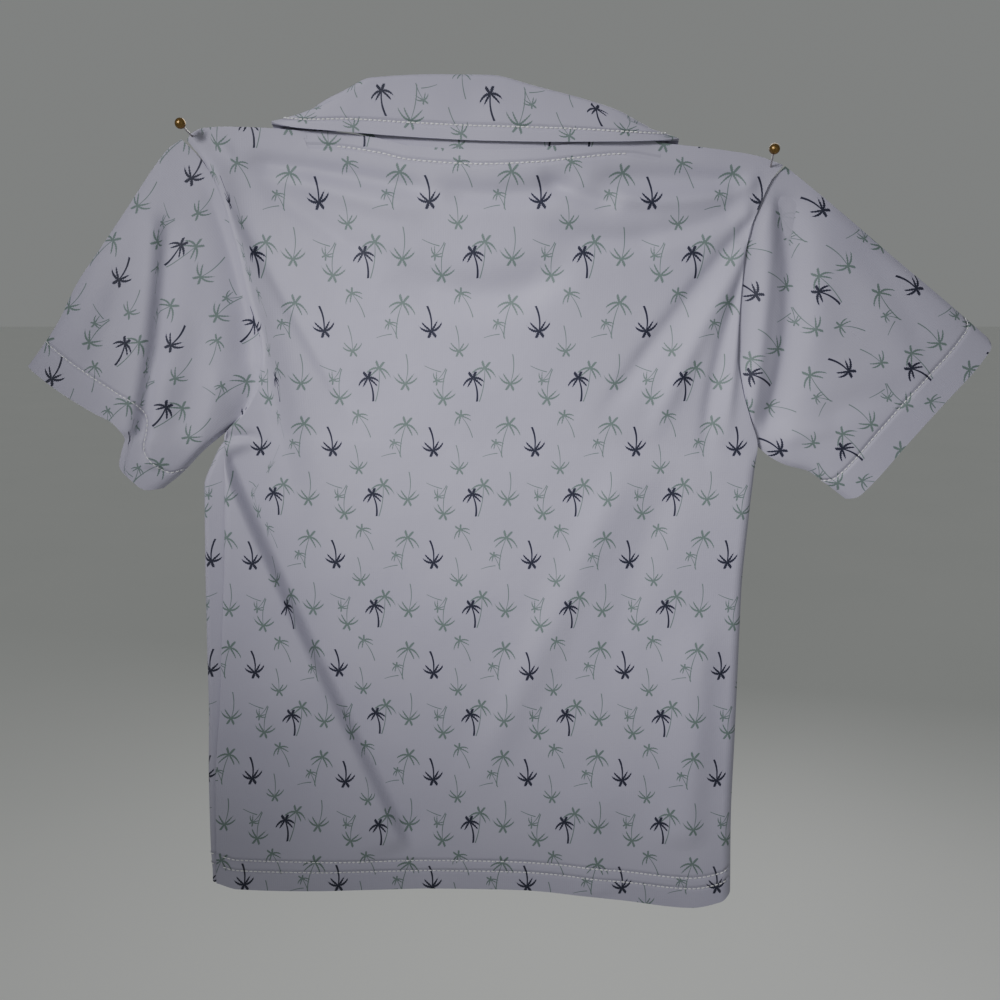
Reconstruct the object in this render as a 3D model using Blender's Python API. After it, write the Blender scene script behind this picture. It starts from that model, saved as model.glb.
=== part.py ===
"""Toddler's short-sleeved polo shirt, hung by two ball-head pins with its back to the room.

Real size in metres, +Z up. The wall that the pins go into is the plane y = 0, and the viewer
stands at -Y and sees the back of the shirt. The origin lies on the wall plane, midway between
the points where the two pins enter the cloth.

Each cloth piece is a wall of even thickness. Its outer face is a blend of four edge curves, each
read from a short table of sizes in millimetres, and is then pushed out or in by rolls and folds.
"""
import math

import bmesh
import bpy
import numpy as np

MM = 0.001
CLOTH = 1.2           # wall thickness of one layer of cloth
SEAM = 0.3            # gap between two pieces at a seam
LAYERS = 2 * CLOTH + SEAM

# --- Edge curves of the body, in mm. The wearer's left is at -X. --------------------------------

# Shoulder seams and back neckline, from the left armhole to the right one.
BACK_TOP = (
    # x, y, z
    (-139.5, -9.0, 6.0), (-136.0, -9.0, 9.6), (-131.0, -9.0, 11.4), (-120.0, -9.0, 12.0),
    (-101.0, -9.5, 11.4), (-86.0, -10.3, 10.2), (-72.0, -12.0, 9.6), (-50.0, -14.4, 6.4),
    (-35.0, -15.4, 3.7), (0.0, -16.0, 1.9), (27.0, -15.6, 3.0), (45.0, -14.4, 4.6),
    (70.0, -12.0, 6.4), (86.0, -10.3, 4.4), (101.0, -9.5, 3.0), (118.0, -9.0, 0.9),
    (130.0, -9.0, -1.2), (141.8, -9.0, -5.2),
)
# The front neckline is scooped out below the two neck points.
FRONT_NECK = (
    # x, z
    (-72.0, 9.6), (-69.0, -4.0), (-62.0, -19.0), (-51.0, -34.0), (-36.0, -46.5), (-18.0, -54.5),
    (0.0, -57.0), (18.0, -55.0), (36.0, -47.5), (51.0, -35.5), (61.0, -21.0), (68.0, -6.5),
    (70.0, 6.4),
)
# Left armhole and left side seam of the back, top to bottom. The side seam is drawn round to
# the back. out is how far the front panel wraps round past the seam.
LEFT_EDGE = (
    # x, y, z, y_front, out
    (-139.5, -9.0, 6.0, -5.6, 0.0), (-132.0, -10.2, -3.5, -5.6, 0.0),
    (-124.5, -11.5, -19.0, -5.6, 0.0), (-118.0, -12.4, -43.0, -5.6, 0.0),
    (-113.0, -13.0, -68.0, -5.6, 0.0), (-107.5, -13.0, -92.0, -5.6, 0.0),
    (-110.5, -12.6, -108.0, -5.8, 0.0), (-118.0, -12.0, -122.5, -6.6, 0.0),
    (-127.0, -11.3, -132.0, -8.4, 0.0), (-127.7, -11.6, -135.5, -10.0, 0.4),
    (-128.2, -11.7, -139.0, -11.4, 2.9), (-129.0, -11.6, -146.0, -11.5, 6.0),
    (-129.5, -11.5, -160.0, -11.5, 11.0), (-131.5, -11.5, -197.0, -11.5, 10.5),
    (-135.0, -11.5, -243.0, -11.5, 8.5), (-138.0, -11.5, -279.0, -11.5, 6.5),
    (-142.0, -11.5, -316.0, -11.5, 4.5), (-143.5, -11.5, -354.0, -11.5, 4.0),
    (-144.5, -11.5, -376.0, -11.5, 2.5),
)
# Right armhole and right side seam. roll is how far the back panel stands proud of the seam.
RIGHT_EDGE = (
    # x, y, z, y_front, roll
    (141.8, -9.0, -5.2, -5.6, 0.0), (136.0, -10.2, -12.6, -5.6, 0.0),
    (131.0, -11.5, -24.0, -5.6, 0.0), (126.6, -12.4, -36.0, -5.6, 0.0),
    (124.6, -12.8, -50.0, -5.6, 0.0), (123.3, -13.0, -75.0, -5.6, 0.0),
    (123.6, -12.8, -95.0, -5.6, 0.0), (126.5, -12.4, -111.0, -5.8, 0.0),
    (131.0, -11.8, -125.0, -6.4, 0.0), (135.5, -11.0, -140.0, -7.4, 0.0),
    (134.9, -8.8, -152.0, -7.8, 3.4), (133.2, -8.4, -177.0, -8.1, 4.6),
    (131.2, -8.4, -217.0, -8.1, 5.0), (131.2, -8.4, -290.0, -8.1, 5.0),
    (131.0, -8.4, -327.0, -8.1, 5.0), (132.5, -8.4, -381.0, -8.1, 4.5),
)
HEM = (
    # x, y, z
    (-144.5, -11.5, -376.0), (-133.0, -12.0, -379.2), (-92.0, -13.0, -379.7),
    (-60.0, -13.5, -378.6), (-29.0, -14.0, -377.3), (19.0, -13.5, -378.5),
    (69.0, -13.0, -383.2), (110.0, -12.0, -388.0), (126.0, -10.5, -385.0),
    (132.5, -8.4, -381.0),
)
BACK_BULGE = 2.6       # how far the back panel stands out at chest height
FRONT_FLAT = -5.6      # the front panel's outer face, next to the wall
ROLL_RADIUS = 6.0      # of the right side, where front and back meet
SIDE_RADIUS = 2.95     # of the left side, where the front panel turns over
STRIP_FLAT = 7.0       # flat part of the front's left strip, next to the wall
WRAP_SHARE = 0.085     # of the front panel's columns are in that strip
UNDERARM = 0.361       # share of the way from the shoulder to the hem

# Folds of the back, left to right. bend bows the line sideways, the widths are measured on
# either side of it, and the height is towards the viewer.
BACK_FOLDS = (
    # x0, z0, x1, z1, bend, width_left, width_right, height, fade_in, fade_out
    (-136.0, 4.0, -96.0, -178.0, -3.0, 5.0, 15.0, 2.8, 0.06, 0.25),
    (-124.0, -138.0, -34.0, -364.0, -4.0, 22.0, 13.0, 3.0, 0.12, 0.12),
    (-106.0, -142.0, -12.0, -368.0, -4.0, 13.0, 17.0, -1.8, 0.14, 0.12),
    (-105.0, 4.0, -62.0, -50.0, 6.0, 9.0, 12.0, 1.6, 0.20, 0.50),
    (-70.0, -14.0, 60.0, -12.0, 9.0, 9.0, 11.0, -2.2, 0.20, 0.20),
    (-62.0, -42.0, 66.0, -40.0, 12.0, 14.0, 12.0, 1.6, 0.25, 0.25),
    (128.0, -14.0, 108.0, -150.0, 7.0, 9.0, 6.0, 2.2, 0.12, 0.30),
    (116.0, -12.0, 76.0, -96.0, 6.0, 10.0, 9.0, -1.8, 0.25, 0.45),
    (102.0, -8.0, 48.0, -72.0, 5.0, 9.0, 12.0, 1.4, 0.25, 0.50),
    (112.0, -176.0, 96.0, -340.0, -3.0, 9.0, 16.0, 1.8, 0.25, 0.25),
    (12.0, -190.0, 24.0, -352.0, 4.0, 22.0, 22.0, 1.4, 0.30, 0.30),
)
# Folds of the front, which hangs flat against the wall, with soft drags from the armholes.
FRONT_FOLDS = (
    (-122.0, -30.0, -70.0, -150.0, 6.0, 10.0, 10.0, 1.2, 0.25, 0.40),
    (120.0, -38.0, 72.0, -160.0, -6.0, 10.0, 10.0, 1.2, 0.25, 0.40),
    (-96.0, -200.0, -60.0, -350.0, 4.0, 16.0, 16.0, 1.1, 0.30, 0.30),
    (70.0, -190.0, 88.0, -352.0, 4.0, 16.0, 16.0, 1.1, 0.30, 0.30),
)

# --- Sleeves, in mm: the upper fold line, the cuff and the underarm fold line. -------------------

LEFT_SLEEVE = {
    "upper": ((-142.5, 6.6), (-148.7, 2.6), (-155.0, -4.5), (-170.0, -24.7), (-183.3, -42.4),
              (-196.7, -60.3), (-206.8, -78.0), (-216.7, -91.5), (-223.4, -99.7)),
    "cuff": ((-223.4, -99.7), (-205.8, -113.0), (-190.3, -122.8), (-181.5, -127.5),
             (-176.6, -134.5), (-179.0, -142.0), (-180.4, -148.5), (-175.2, -156.0),
             (-168.0, -161.0), (-160.8, -160.6)),
    "under": ((-127.4, -131.6), (-139.3, -141.3), (-151.5, -153.4), (-160.8, -160.6)),
    "y_middle": ((0.0, -8.6), (0.3, -9.0), (0.7, -9.6), (1.0, -9.8)),
    "half_depth": ((0.0, 2.6), (0.15, 4.6), (0.4, 5.8), (0.75, 6.0), (1.0, 5.2)),
    "underarm_z": -132.0,
    "folds": (
        (-153.0, -22.0, -180.0, -150.0, 5.0, 2.5, 22.0, 3.0, 0.10, 0.02),
        (-158.0, -26.0, -178.0, -128.0, 4.0, 12.0, 3.0, 1.6, 0.15, 0.40),
        (-139.0, -14.0, -121.0, -96.0, -6.0, 9.0, 9.0, -2.6, 0.20, 0.35),
        (-136.0, -70.0, -160.0, -140.0, 4.0, 8.0, 8.0, -1.4, 0.30, 0.25),
        (-160.0, -16.0, -206.0, -96.0, 2.0, 9.0, 9.0, 1.2, 0.25, 0.25),
    ),
}
RIGHT_SLEEVE = {
    "upper": ((143.2, -5.6), (149.7, -10.4), (173.2, -28.4), (198.5, -48.5), (223.7, -68.0),
              (246.3, -86.1)),
    "cuff": ((246.3, -86.1), (247.2, -90.0), (243.8, -95.8), (226.8, -116.4), (208.7, -138.2),
             (190.8, -160.5), (186.1, -165.0), (181.6, -166.1)),
    "under": ((136.1, -139.6), (143.5, -145.4), (151.6, -149.2), (161.7, -151.9),
              (170.6, -157.9), (181.6, -166.1)),
    "y_middle": ((0.0, -8.6), (0.3, -8.8), (0.7, -9.0), (1.0, -9.0)),
    "half_depth": ((0.0, 2.6), (0.15, 4.6), (0.4, 5.6), (0.75, 5.6), (1.0, 5.0)),
    "underarm_z": -140.0,
    "folds": (
        (138.0, -14.0, 137.0, -130.0, -3.0, 7.0, 7.0, 2.6, 0.15, 0.20),
        (144.0, -20.0, 142.0, -126.0, 5.0, 7.0, 12.0, -2.0, 0.20, 0.25),
        (156.0, -24.0, 216.0, -120.0, 5.0, 12.0, 10.0, 1.4, 0.25, 0.25),
        (160.0, -128.0, 214.0, -112.0, 4.0, 9.0, 9.0, -1.2, 0.30, 0.20),
    ),
}

# --- Collar: stand, fold line and fall, in mm, from the left front round to the right front. -----

COLLAR = (
    # seam x, y, z;        fold x, y, z;          outer edge x, y, z;     facing, columns to next
    (-4.0, -5.2, -56.0, -5.0, -3.4, -49.0, -46.0, -1.8, -90.0, 90.0, 2),
    (-17.5, -5.2, -53.4, -17.0, -3.4, -45.4, -58.0, -1.8, -78.0, 90.0, 2),
    (-35.0, -5.2, -45.2, -32.5, -3.4, -36.6, -72.0, -1.8, -60.0, 90.0, 2),
    (-50.0, -5.2, -33.0, -45.5, -3.5, -24.0, -84.0, -2.0, -40.0, 90.0, 2),
    (-60.6, -5.9, -18.0, -56.5, -4.2, -8.0, -93.0, -2.4, -18.0, 93.0, 2),
    (-66.6, -7.3, -3.2, -66.0, -5.4, 7.0, -99.5, -3.0, 2.0, 105.0, 2),
    (-69.6, -8.6, 7.6, -74.5, -6.6, 15.0, -99.5, -4.0, 12.2, 140.0, 3),
    (-70.8, -10.6, 11.2, -78.5, -9.8, 19.6, -99.8, -8.4, 14.8, 185.0, 3),
    (-67.6, -12.6, 10.6, -74.0, -13.2, 22.8, -96.8, -12.2, 13.2, 235.0, 2),
    (-58.0, -14.0, 9.0, -64.5, -15.6, 27.0, -88.0, -15.0, 11.2, 258.0, 2),
    (-43.0, -15.2, 6.0, -51.0, -17.1, 32.6, -64.0, -18.0, 8.8, 267.0, 2),
    (-20.0, -16.0, 3.4, -22.0, -18.0, 33.9, -28.0, -19.8, 6.0, 270.0, 2),
    (2.0, -16.2, 2.7, 3.0, -18.2, 33.6, 3.0, -20.2, 4.6, 270.0, 2),
    (24.0, -15.9, 3.5, 25.0, -17.9, 28.6, 32.0, -19.8, 4.2, 270.0, 2),
    (43.0, -15.0, 5.3, 47.0, -16.9, 23.2, 62.0, -17.6, 4.5, 273.0, 2),
    (57.0, -13.8, 6.8, 63.0, -15.2, 18.4, 82.0, -14.8, 5.4, 282.0, 2),
    (66.0, -12.4, 8.0, 72.2, -12.8, 14.0, 88.5, -12.2, 6.2, 305.0, 3),
    (68.8, -10.4, 8.2, 77.0, -9.6, 11.6, 92.5, -8.6, 7.0, 355.0, 3),
    (67.8, -8.6, 4.2, 72.0, -6.6, 9.4, 92.5, -4.2, 4.0, 400.0, 2),
    (64.8, -7.3, -5.6, 63.8, -5.4, 3.0, 91.5, -3.0, -6.0, 435.0, 2),
    (59.4, -5.9, -20.0, 55.4, -4.2, -11.0, 89.0, -2.4, -23.0, 447.0, 2),
    (49.8, -5.2, -34.4, 45.3, -3.5, -25.6, 82.0, -2.0, -43.0, 450.0, 2),
    (35.0, -5.2, -46.2, 32.5, -3.4, -37.8, 71.0, -1.8, -62.0, 450.0, 2),
    (17.5, -5.2, -54.0, 17.0, -3.4, -46.0, 57.0, -1.8, -79.0, 450.0, 2),
    (4.0, -5.2, -56.0, 5.0, -3.4, -49.4, 45.0, -1.8, -91.0, 450.0, 0),
)

# --- Placket, buttons and pins, in mm. ------------------------------------------------------------

FOLD_RADIUS = 2.0                     # of the collar over its fold line
PLACKET_ROWS = 10
OVER_WIDTH = 26.0
UNDER_WIDTH = 22.0
SLIT_WIDTH = 2.0
SLIT_SHARE = 0.9                      # of the placket's length
BUTTON_RADIUS = 5.5
BUTTON_THICKNESS = 2.0
BUTTON_DROPS = (12.0, 44.0, 76.0)     # below the neckline, down the middle of the placket

PIN_BALL_RADIUS = 2.5
PIN_SHAFT_RADIUS = 0.45
PIN_CLEARANCE = 0.35
PIN_DEPTH = 10.0                      # of the point in the wall
PINS = (
    # name, ball x, y, z;                where the shaft meets the cloth x, y, z
    ("pin_left", (-138.8, -22.0, 11.8), (-136.4, -9.0, 6.8)),
    ("pin_right", (134.4, -22.0, 0.6), (136.0, -9.0, -6.9)),
)

# Grid sizes. Rows run from the shoulder or neck down, or from the armhole to the cuff.
BACK_COLUMNS = 34
BACK_ROWS = 36
FRONT_ROWS = 29
SLEEVE_ROWS = 13
ROUND_SIDES = 18

# Columns of the front, as x at the shoulder seam. They run through the neckline's points.
FRONT_X = (-104.0, -92.0, -81.0, -72.0, -69.0, -62.0, -51.0, -36.0, -24.0, -13.0, 0.0, 13.0,
           24.0, 36.0, 51.0, 61.0, 68.0, 70.0, 82.0, 94.0, 106.0, 117.0, 127.0, 133.5, 137.5,
           140.0, 141.2)


# --- Curves and blended surfaces -------------------------------------------------------------------

def smooth(knots, values, t):
    """Cubic curve through the values at rising knots, with slopes that never overshoot."""
    knots = np.asarray(knots, float)
    values = np.asarray(values, float).reshape(len(knots), -1)
    step = np.diff(knots)[:, None]
    slope = np.diff(values, axis=0) / step
    before, after = slope[:-1], slope[1:]
    level = before * after <= 0.0
    tangent = np.concatenate([slope[:1], np.zeros_like(before), slope[-1:]])
    tangent[1:-1] = np.where(level, 0.0, 2.0 * before * after / np.where(level, 1.0, before + after))
    t = np.asarray(t, float)
    i = np.clip(np.searchsorted(knots, t, side="right") - 1, 0, len(knots) - 2)
    h = step[i]
    u = (t - knots[i])[..., None] / h
    return ((2 * u ** 3 - 3 * u ** 2 + 1) * values[i] + (u ** 3 - 2 * u ** 2 + u) * h * tangent[i]
            + (3 * u ** 2 - 2 * u ** 3) * values[i + 1] + (u ** 3 - u ** 2) * h * tangent[i + 1])


def distances(points):
    """How far along a row of points each one lies, from 0 to 1."""
    run = np.r_[0.0, np.cumsum(np.linalg.norm(np.diff(points, axis=0), axis=1))]
    return run / run[-1]


def curve(points, axis=None):
    """The curve through a table's points. t runs 0 to 1 along one axis, or by distance."""
    points = np.asarray(points, float)
    if axis is None:
        knots = distances(points)
    else:
        knots = (points[:, axis] - points[0, axis]) / (points[-1, axis] - points[0, axis])
    return lambda t: smooth(knots, points, t)


def blend(left, right, top, bottom, s, v, reach=3, drop=3):
    """Surface between four edge curves: s runs left to right and v from top to bottom.

    The bends of the sides fade out across it with the power reach, those of its ends with drop.
    """
    s, v = s[..., None], v[..., None]
    a, b, c, d = top(0.0), top(1.0), bottom(0.0), bottom(1.0)
    at_left, at_right = left(v[..., 0]) - (a + (c - a) * v), right(v[..., 0]) - (b + (d - b) * v)
    at_top, at_bottom = top(s[..., 0]) - (a + (b - a) * s), bottom(s[..., 0]) - (c + (d - c) * s)
    flat = (1 - v) * (a + (b - a) * s) + v * (c + (d - c) * s)
    return (flat + at_left * (1 - s) ** reach + at_right * s ** reach
            + at_top * (1 - v) ** drop + at_bottom * v ** drop)


def ease(t):
    t = np.clip(t, 0.0, 1.0)
    return t * t * (3.0 - 2.0 * t)


def quarter_round(distance, radius):
    """0 at an edge, rising as a quarter circle to 1 at one radius from it."""
    t = np.clip(distance / radius, 0.0, 1.0)
    return np.sqrt(1.0 - (1.0 - t) ** 2)


def fold_height(folds, x, z):
    """Sum of the folds at each point: a bell across each fold's line, faded at its ends."""
    total = np.zeros_like(x)
    for x0, z0, x1, z1, bend, width_left, width_right, height, fade_in, fade_out in folds:
        length = math.hypot(x1 - x0, z1 - z0)
        along_x, along_z = (x1 - x0) / length, (z1 - z0) / length
        t = ((x - x0) * along_x + (z - z0) * along_z) / length
        across = (x - x0) * -along_z + (z - z0) * along_x - bend * 4.0 * t * (1.0 - t)
        width = np.where(across < 0.0, width_left, width_right)
        ends = ease(t / fade_in) * ease((1.0 - t) / fade_out)
        total += height * ends * np.exp(-(across / width) ** 2)
    return total


def crowded(count, crowd):
    """Values from 0 to 1 that stand closer together near both ends."""
    t = np.linspace(0.0, 1.0, count)
    return t - crowd * np.sin(2.0 * math.pi * t) / (2.0 * math.pi)


def grid(columns, rows):
    return np.meshgrid(columns, rows, indexing="ij")


# --- The body's surfaces ----------------------------------------------------------------------------

LEFT_X = LEFT_EDGE[0][0]
BODY_WIDTH = RIGHT_EDGE[0][0] - LEFT_X


def side(table, columns):
    return curve([[row[c] for c in columns] for row in table], axis=2)


def value_down(table, column, v):
    """One column of an edge table at v, the share of the way down."""
    z = np.array([row[2] for row in table])
    return smooth((z - z[0]) / (z[-1] - z[0]), [row[column] for row in table], v)[..., 0]


def back_surface(s, v):
    """Outer face of the back panel, and how far its folds push it out."""
    points = blend(side(LEFT_EDGE, (0, 1, 2)), side(RIGHT_EDGE, (0, 1, 2)),
                   curve(BACK_TOP, axis=0), curve(HEM, axis=0), s, v)
    from_left, from_right = s * BODY_WIDTH, (1.0 - s) * BODY_WIDTH
    roll = value_down(RIGHT_EDGE, 4, v) * quarter_round(from_right, ROLL_RADIUS) * s ** 3
    bulge = BACK_BULGE * np.sin(math.pi * s) ** 0.8 * np.sin(math.pi * v ** 0.8) ** 0.7
    points[..., 1] -= roll + bulge
    clear = quarter_round(from_left, 8.0) * quarter_round(from_right, 8.0) * ease(v / 0.03)
    return points, -clear * fold_height(BACK_FOLDS, points[..., 0], points[..., 2])


def front_top():
    """Shoulder seams as on the back, one layer nearer the wall, with the scooped neckline."""
    first, last = FRONT_NECK[0], FRONT_NECK[-1]
    neck_y = -12.0 + LAYERS
    edge = [(x, y + LAYERS, z) for x, y, z in BACK_TOP if x < first[0]]
    for x, z in FRONT_NECK:
        edge.append((x, neck_y + (FRONT_FLAT - neck_y) * ease((first[1] - z) / 40.0), z))
    edge += [(x, y + LAYERS, z) for x, y, z in BACK_TOP if x > last[0]]
    return curve(edge, axis=0)


def side_strip(share, v):
    """Cross-section of the front's left edge: out from the seam, round the side, in on the wall.

    Gives x past the seam, y, and how much of it lies flat along the wall.
    """
    radius, y_seam = SIDE_RADIUS, value_down(LEFT_EDGE, 3, v)
    start = np.arccos(np.clip((FRONT_FLAT - y_seam) / radius - 1.0, -1.0, 1.0))
    run = np.maximum(value_down(LEFT_EDGE, 4, v) - radius * (1.0 - np.sin(start)), 0.0)
    arc = radius * (math.pi - start)
    distance = share * (run + arc + STRIP_FLAT)
    angle = start + np.clip((distance - run) / radius, 0.0, math.pi - start)
    flat = np.maximum(distance - run - arc, 0.0)
    x = -np.minimum(distance, run) + radius * (np.sin(start) - np.sin(angle)) + flat
    return x, FRONT_FLAT - radius * (1.0 + np.cos(angle)), flat


def front_surface(s, v):
    """Outer face of the front panel, which looks at the wall."""
    left, right, hem = side(LEFT_EDGE, (0, 3, 2)), side(RIGHT_EDGE, (0, 3, 2)), curve(HEM, axis=0)
    x, y, flat = side_strip(np.clip(s / WRAP_SHARE, 0.0, 1.0), v)
    inner_share = np.maximum(s - WRAP_SHARE, 0.0) / (1.0 - WRAP_SHARE)
    across = flat / BODY_WIDTH + inner_share * (1.0 - STRIP_FLAT / BODY_WIDTH)
    points = blend(left, right, front_top(), hem, across, v, reach=6)
    begin = blend(left, right, front_top(), hem, flat / BODY_WIDTH, v, reach=6)
    x = left(v)[..., 0] + x + (points - begin)[..., 0]
    points[..., 0] = np.where(s < WRAP_SHARE, x, points[..., 0]
                              + (x - points[..., 0]) * (1.0 - inner_share) ** 6)
    to_right = np.clip(1.0 - (1.0 - s) * BODY_WIDTH / ROLL_RADIUS, 0.0, 1.0)
    y = y + (front_top()(across)[..., 1] - FRONT_FLAT) * (1.0 - ease(v / 0.12))
    y = y + (value_down(RIGHT_EDGE, 3, v) - FRONT_FLAT) * (1.0 - np.sqrt(1.0 - to_right ** 2))
    clear = ease((s - WRAP_SHARE) * 12.0) * ease((1.0 - s) * 12.0) * ease(v / 0.05)
    points[..., 0] -= SEAM * ease(1.0 - s * 40.0) * ease((v - UNDERARM) / 0.03)
    points[..., 1] = y + clear * fold_height(FRONT_FOLDS, points[..., 0], points[..., 2])
    return points


def front_inner(s, v):
    """Inner face of the front panel, one thickness in and square to each row."""
    step = 0.002
    run = front_surface(np.minimum(s + step, 1.0), v) - front_surface(np.maximum(s - step, 0.0), v)
    size = np.hypot(run[..., 0], run[..., 1])
    points = front_surface(s, v)
    points[..., 0] += CLOTH * run[..., 1] / size
    points[..., 1] -= CLOTH * run[..., 0] / size
    return points


# --- Walls ---------------------------------------------------------------------------------------------

def normals(points):
    """Unit normals of a grid of points, from the steps to its neighbours."""
    n = np.cross(np.gradient(points, axis=0), np.gradient(points, axis=1))
    return n / np.maximum(np.linalg.norm(n, axis=-1, keepdims=True), 1e-9)


def wall(name, outer, inner, ring=False):
    """Closed wall between two grids of points, in mm. A ring joins its last column to its first."""
    columns, rows = outer.shape[:2]
    count = columns * rows
    index = np.arange(count).reshape(columns, rows)
    faces = []
    for i in range(columns if ring else columns - 1):
        j = (i + 1) % columns
        for k in range(rows - 1):
            a, b, c, d = index[i, k], index[j, k], index[j, k + 1], index[i, k + 1]
            faces.append((a, b, c, d))
            faces.append((d + count, c + count, b + count, a + count))
        for k in (0, rows - 1):
            faces.append((index[i, k], index[i, k] + count, index[j, k] + count, index[j, k]))
    if not ring:
        for i in (0, columns - 1):
            for k in range(rows - 1):
                a, b = index[i, k], index[i, k + 1]
                faces.append((a, a + count, b + count, b))
    points = np.concatenate([outer.reshape(-1, 3), inner.reshape(-1, 3)])
    return solid(name, points, faces, CLOTH_COLOUR, 0.75)


def solid(name, points, faces, colour, roughness, metallic=0.0):
    """An object from points in mm, with its faces turned outwards and its own material."""
    mesh = bpy.data.meshes.new(name)
    mesh.from_pydata((points * MM).tolist(), [], [[int(i) for i in face] for face in faces])
    work = bmesh.new()
    work.from_mesh(mesh)
    bmesh.ops.recalc_face_normals(work, faces=work.faces)
    work.to_mesh(mesh)
    work.free()
    mesh.shade_smooth()
    mesh.set_sharp_from_angle(angle=math.radians(50.0))
    thing = bpy.data.objects.new(name, mesh)
    bpy.context.collection.objects.link(thing)
    surface = bpy.data.materials.new(name)
    surface.use_nodes = True
    shader = surface.node_tree.nodes["Principled BSDF"]
    shader.inputs["Base Color"].default_value = (*colour, 1.0)
    shader.inputs["Roughness"].default_value = roughness
    shader.inputs["Metallic"].default_value = metallic
    mesh.materials.append(surface)
    return thing


def turned(profile, sides):
    """Points and faces of a solid turned about +Z, from (radius, height) pairs pole to pole."""
    angles = np.linspace(0.0, 2.0 * math.pi, sides, endpoint=False)
    points = [(0.0, 0.0, profile[0][1])]
    for radius, height in profile[1:-1]:
        points += [(radius * math.cos(a), radius * math.sin(a), height) for a in angles]
    points.append((0.0, 0.0, profile[-1][1]))
    last_ring = 1 + (len(profile) - 3) * sides
    faces = []
    for i in range(sides):
        j = (i + 1) % sides
        faces.append((0, 1 + j, 1 + i))
        for low in range(1, last_ring, sides):
            high = low + sides
            faces.append((low + i, low + j, high + j, high + i))
        faces.append((len(points) - 1, last_ring + i, last_ring + j))
    return np.array(points), faces


def place(points, start, towards):
    """Turns points about +Z so that +Z runs from start towards the second point."""
    start, towards = np.asarray(start, float), np.asarray(towards, float)
    up = (towards - start) / np.linalg.norm(towards - start)
    side_on = np.cross((1.0, 0.0, 0.0), up)
    side_on = side_on / np.linalg.norm(side_on)
    return start + points @ np.array([side_on, np.cross(up, side_on), up])


def cut(thing, points, faces):
    """Cuts a closed shape, in mm, out of an object."""
    cutter = solid(thing.name + "_cutter", points, faces, (0.8, 0.8, 0.8), 0.5)
    cutter.hide_render = True
    cutter.display_type = "WIRE"
    boolean = thing.modifiers.new("cut", "BOOLEAN")
    boolean.operation = "DIFFERENCE"
    boolean.solver = "EXACT"
    boolean.object = cutter


# --- The pieces ------------------------------------------------------------------------------------------

CLOTH_COLOUR = (0.50, 0.50, 0.56)


def back():
    """Back panel: the thickness lies inside its unfolded outer face, and both faces are folded."""
    outer, push = back_surface(*grid(crowded(BACK_COLUMNS, 0.7), back_rows()))
    inner = outer - CLOTH * normals(outer)
    outer[..., 1] += push
    inner[..., 1] += push
    return wall("back", outer, inner)


def front_share(x):
    """s of the front's column that starts at x on the shoulder seam or neckline."""
    inner = (x - LEFT_X - STRIP_FLAT) / (BODY_WIDTH - STRIP_FLAT)
    return WRAP_SHARE + inner * (1.0 - WRAP_SHARE)


def front_columns():
    wrapped = WRAP_SHARE * np.linspace(0.0, 1.0, 9)
    return np.r_[wrapped, front_share(np.array(FRONT_X)), 1.0]


def down_front(distance):
    """v of the point at a distance below the neckline, down the front's middle."""
    v = np.linspace(0.0, 1.0, 200)
    z = front_surface(np.full_like(v, front_share(0.0)), v)[:, 2]
    return np.interp(distance, z[0] - z, v)


def front():
    s, v = grid(front_columns(), front_rows())
    return wall("front", front_surface(s, v), front_inner(s, v))


def back_rows():
    """Rows of the back. One of them meets the underarm point."""
    return np.r_[np.linspace(0.0, UNDERARM, 14),
                 np.linspace(UNDERARM, 1.0, BACK_ROWS - 13)[1:]]


def front_rows():
    """Rows of the front. The placket ends at the row that meets the underarm points."""
    turn = UNDERARM + np.array([0.006, 0.012, 0.019, 0.027, 0.036])
    return np.r_[np.linspace(0.0, UNDERARM, PLACKET_ROWS), turn,
                 np.linspace(UNDERARM + 0.05, 1.0, FRONT_ROWS - PLACKET_ROWS - len(turn))]


def armhole(sizes, table, sign):
    """The sleeve's end of the armhole seam in x and z, and its distance share for each v."""
    v = np.linspace(0.0, UNDERARM, 60)
    seam = side(table, (0, 1, 2))(v)[:, (0, 2)]
    share = distances(seam)
    tangent = np.gradient(seam, axis=0)
    tangent = tangent / np.linalg.norm(tangent, axis=1, keepdims=True)
    seam = seam + sign * SEAM * 1.5 * np.stack([-tangent[:, 1], tangent[:, 0]], axis=1)
    near, far = (1.0 - share[:, None]) ** 6, share[:, None] ** 6
    seam = seam + ((np.asarray(sizes["upper"][0]) - seam[0]) * near
                   + (np.asarray(sizes["under"][0]) - seam[-1]) * far)
    return v, share, lambda s: smooth(share, seam, s)


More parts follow.
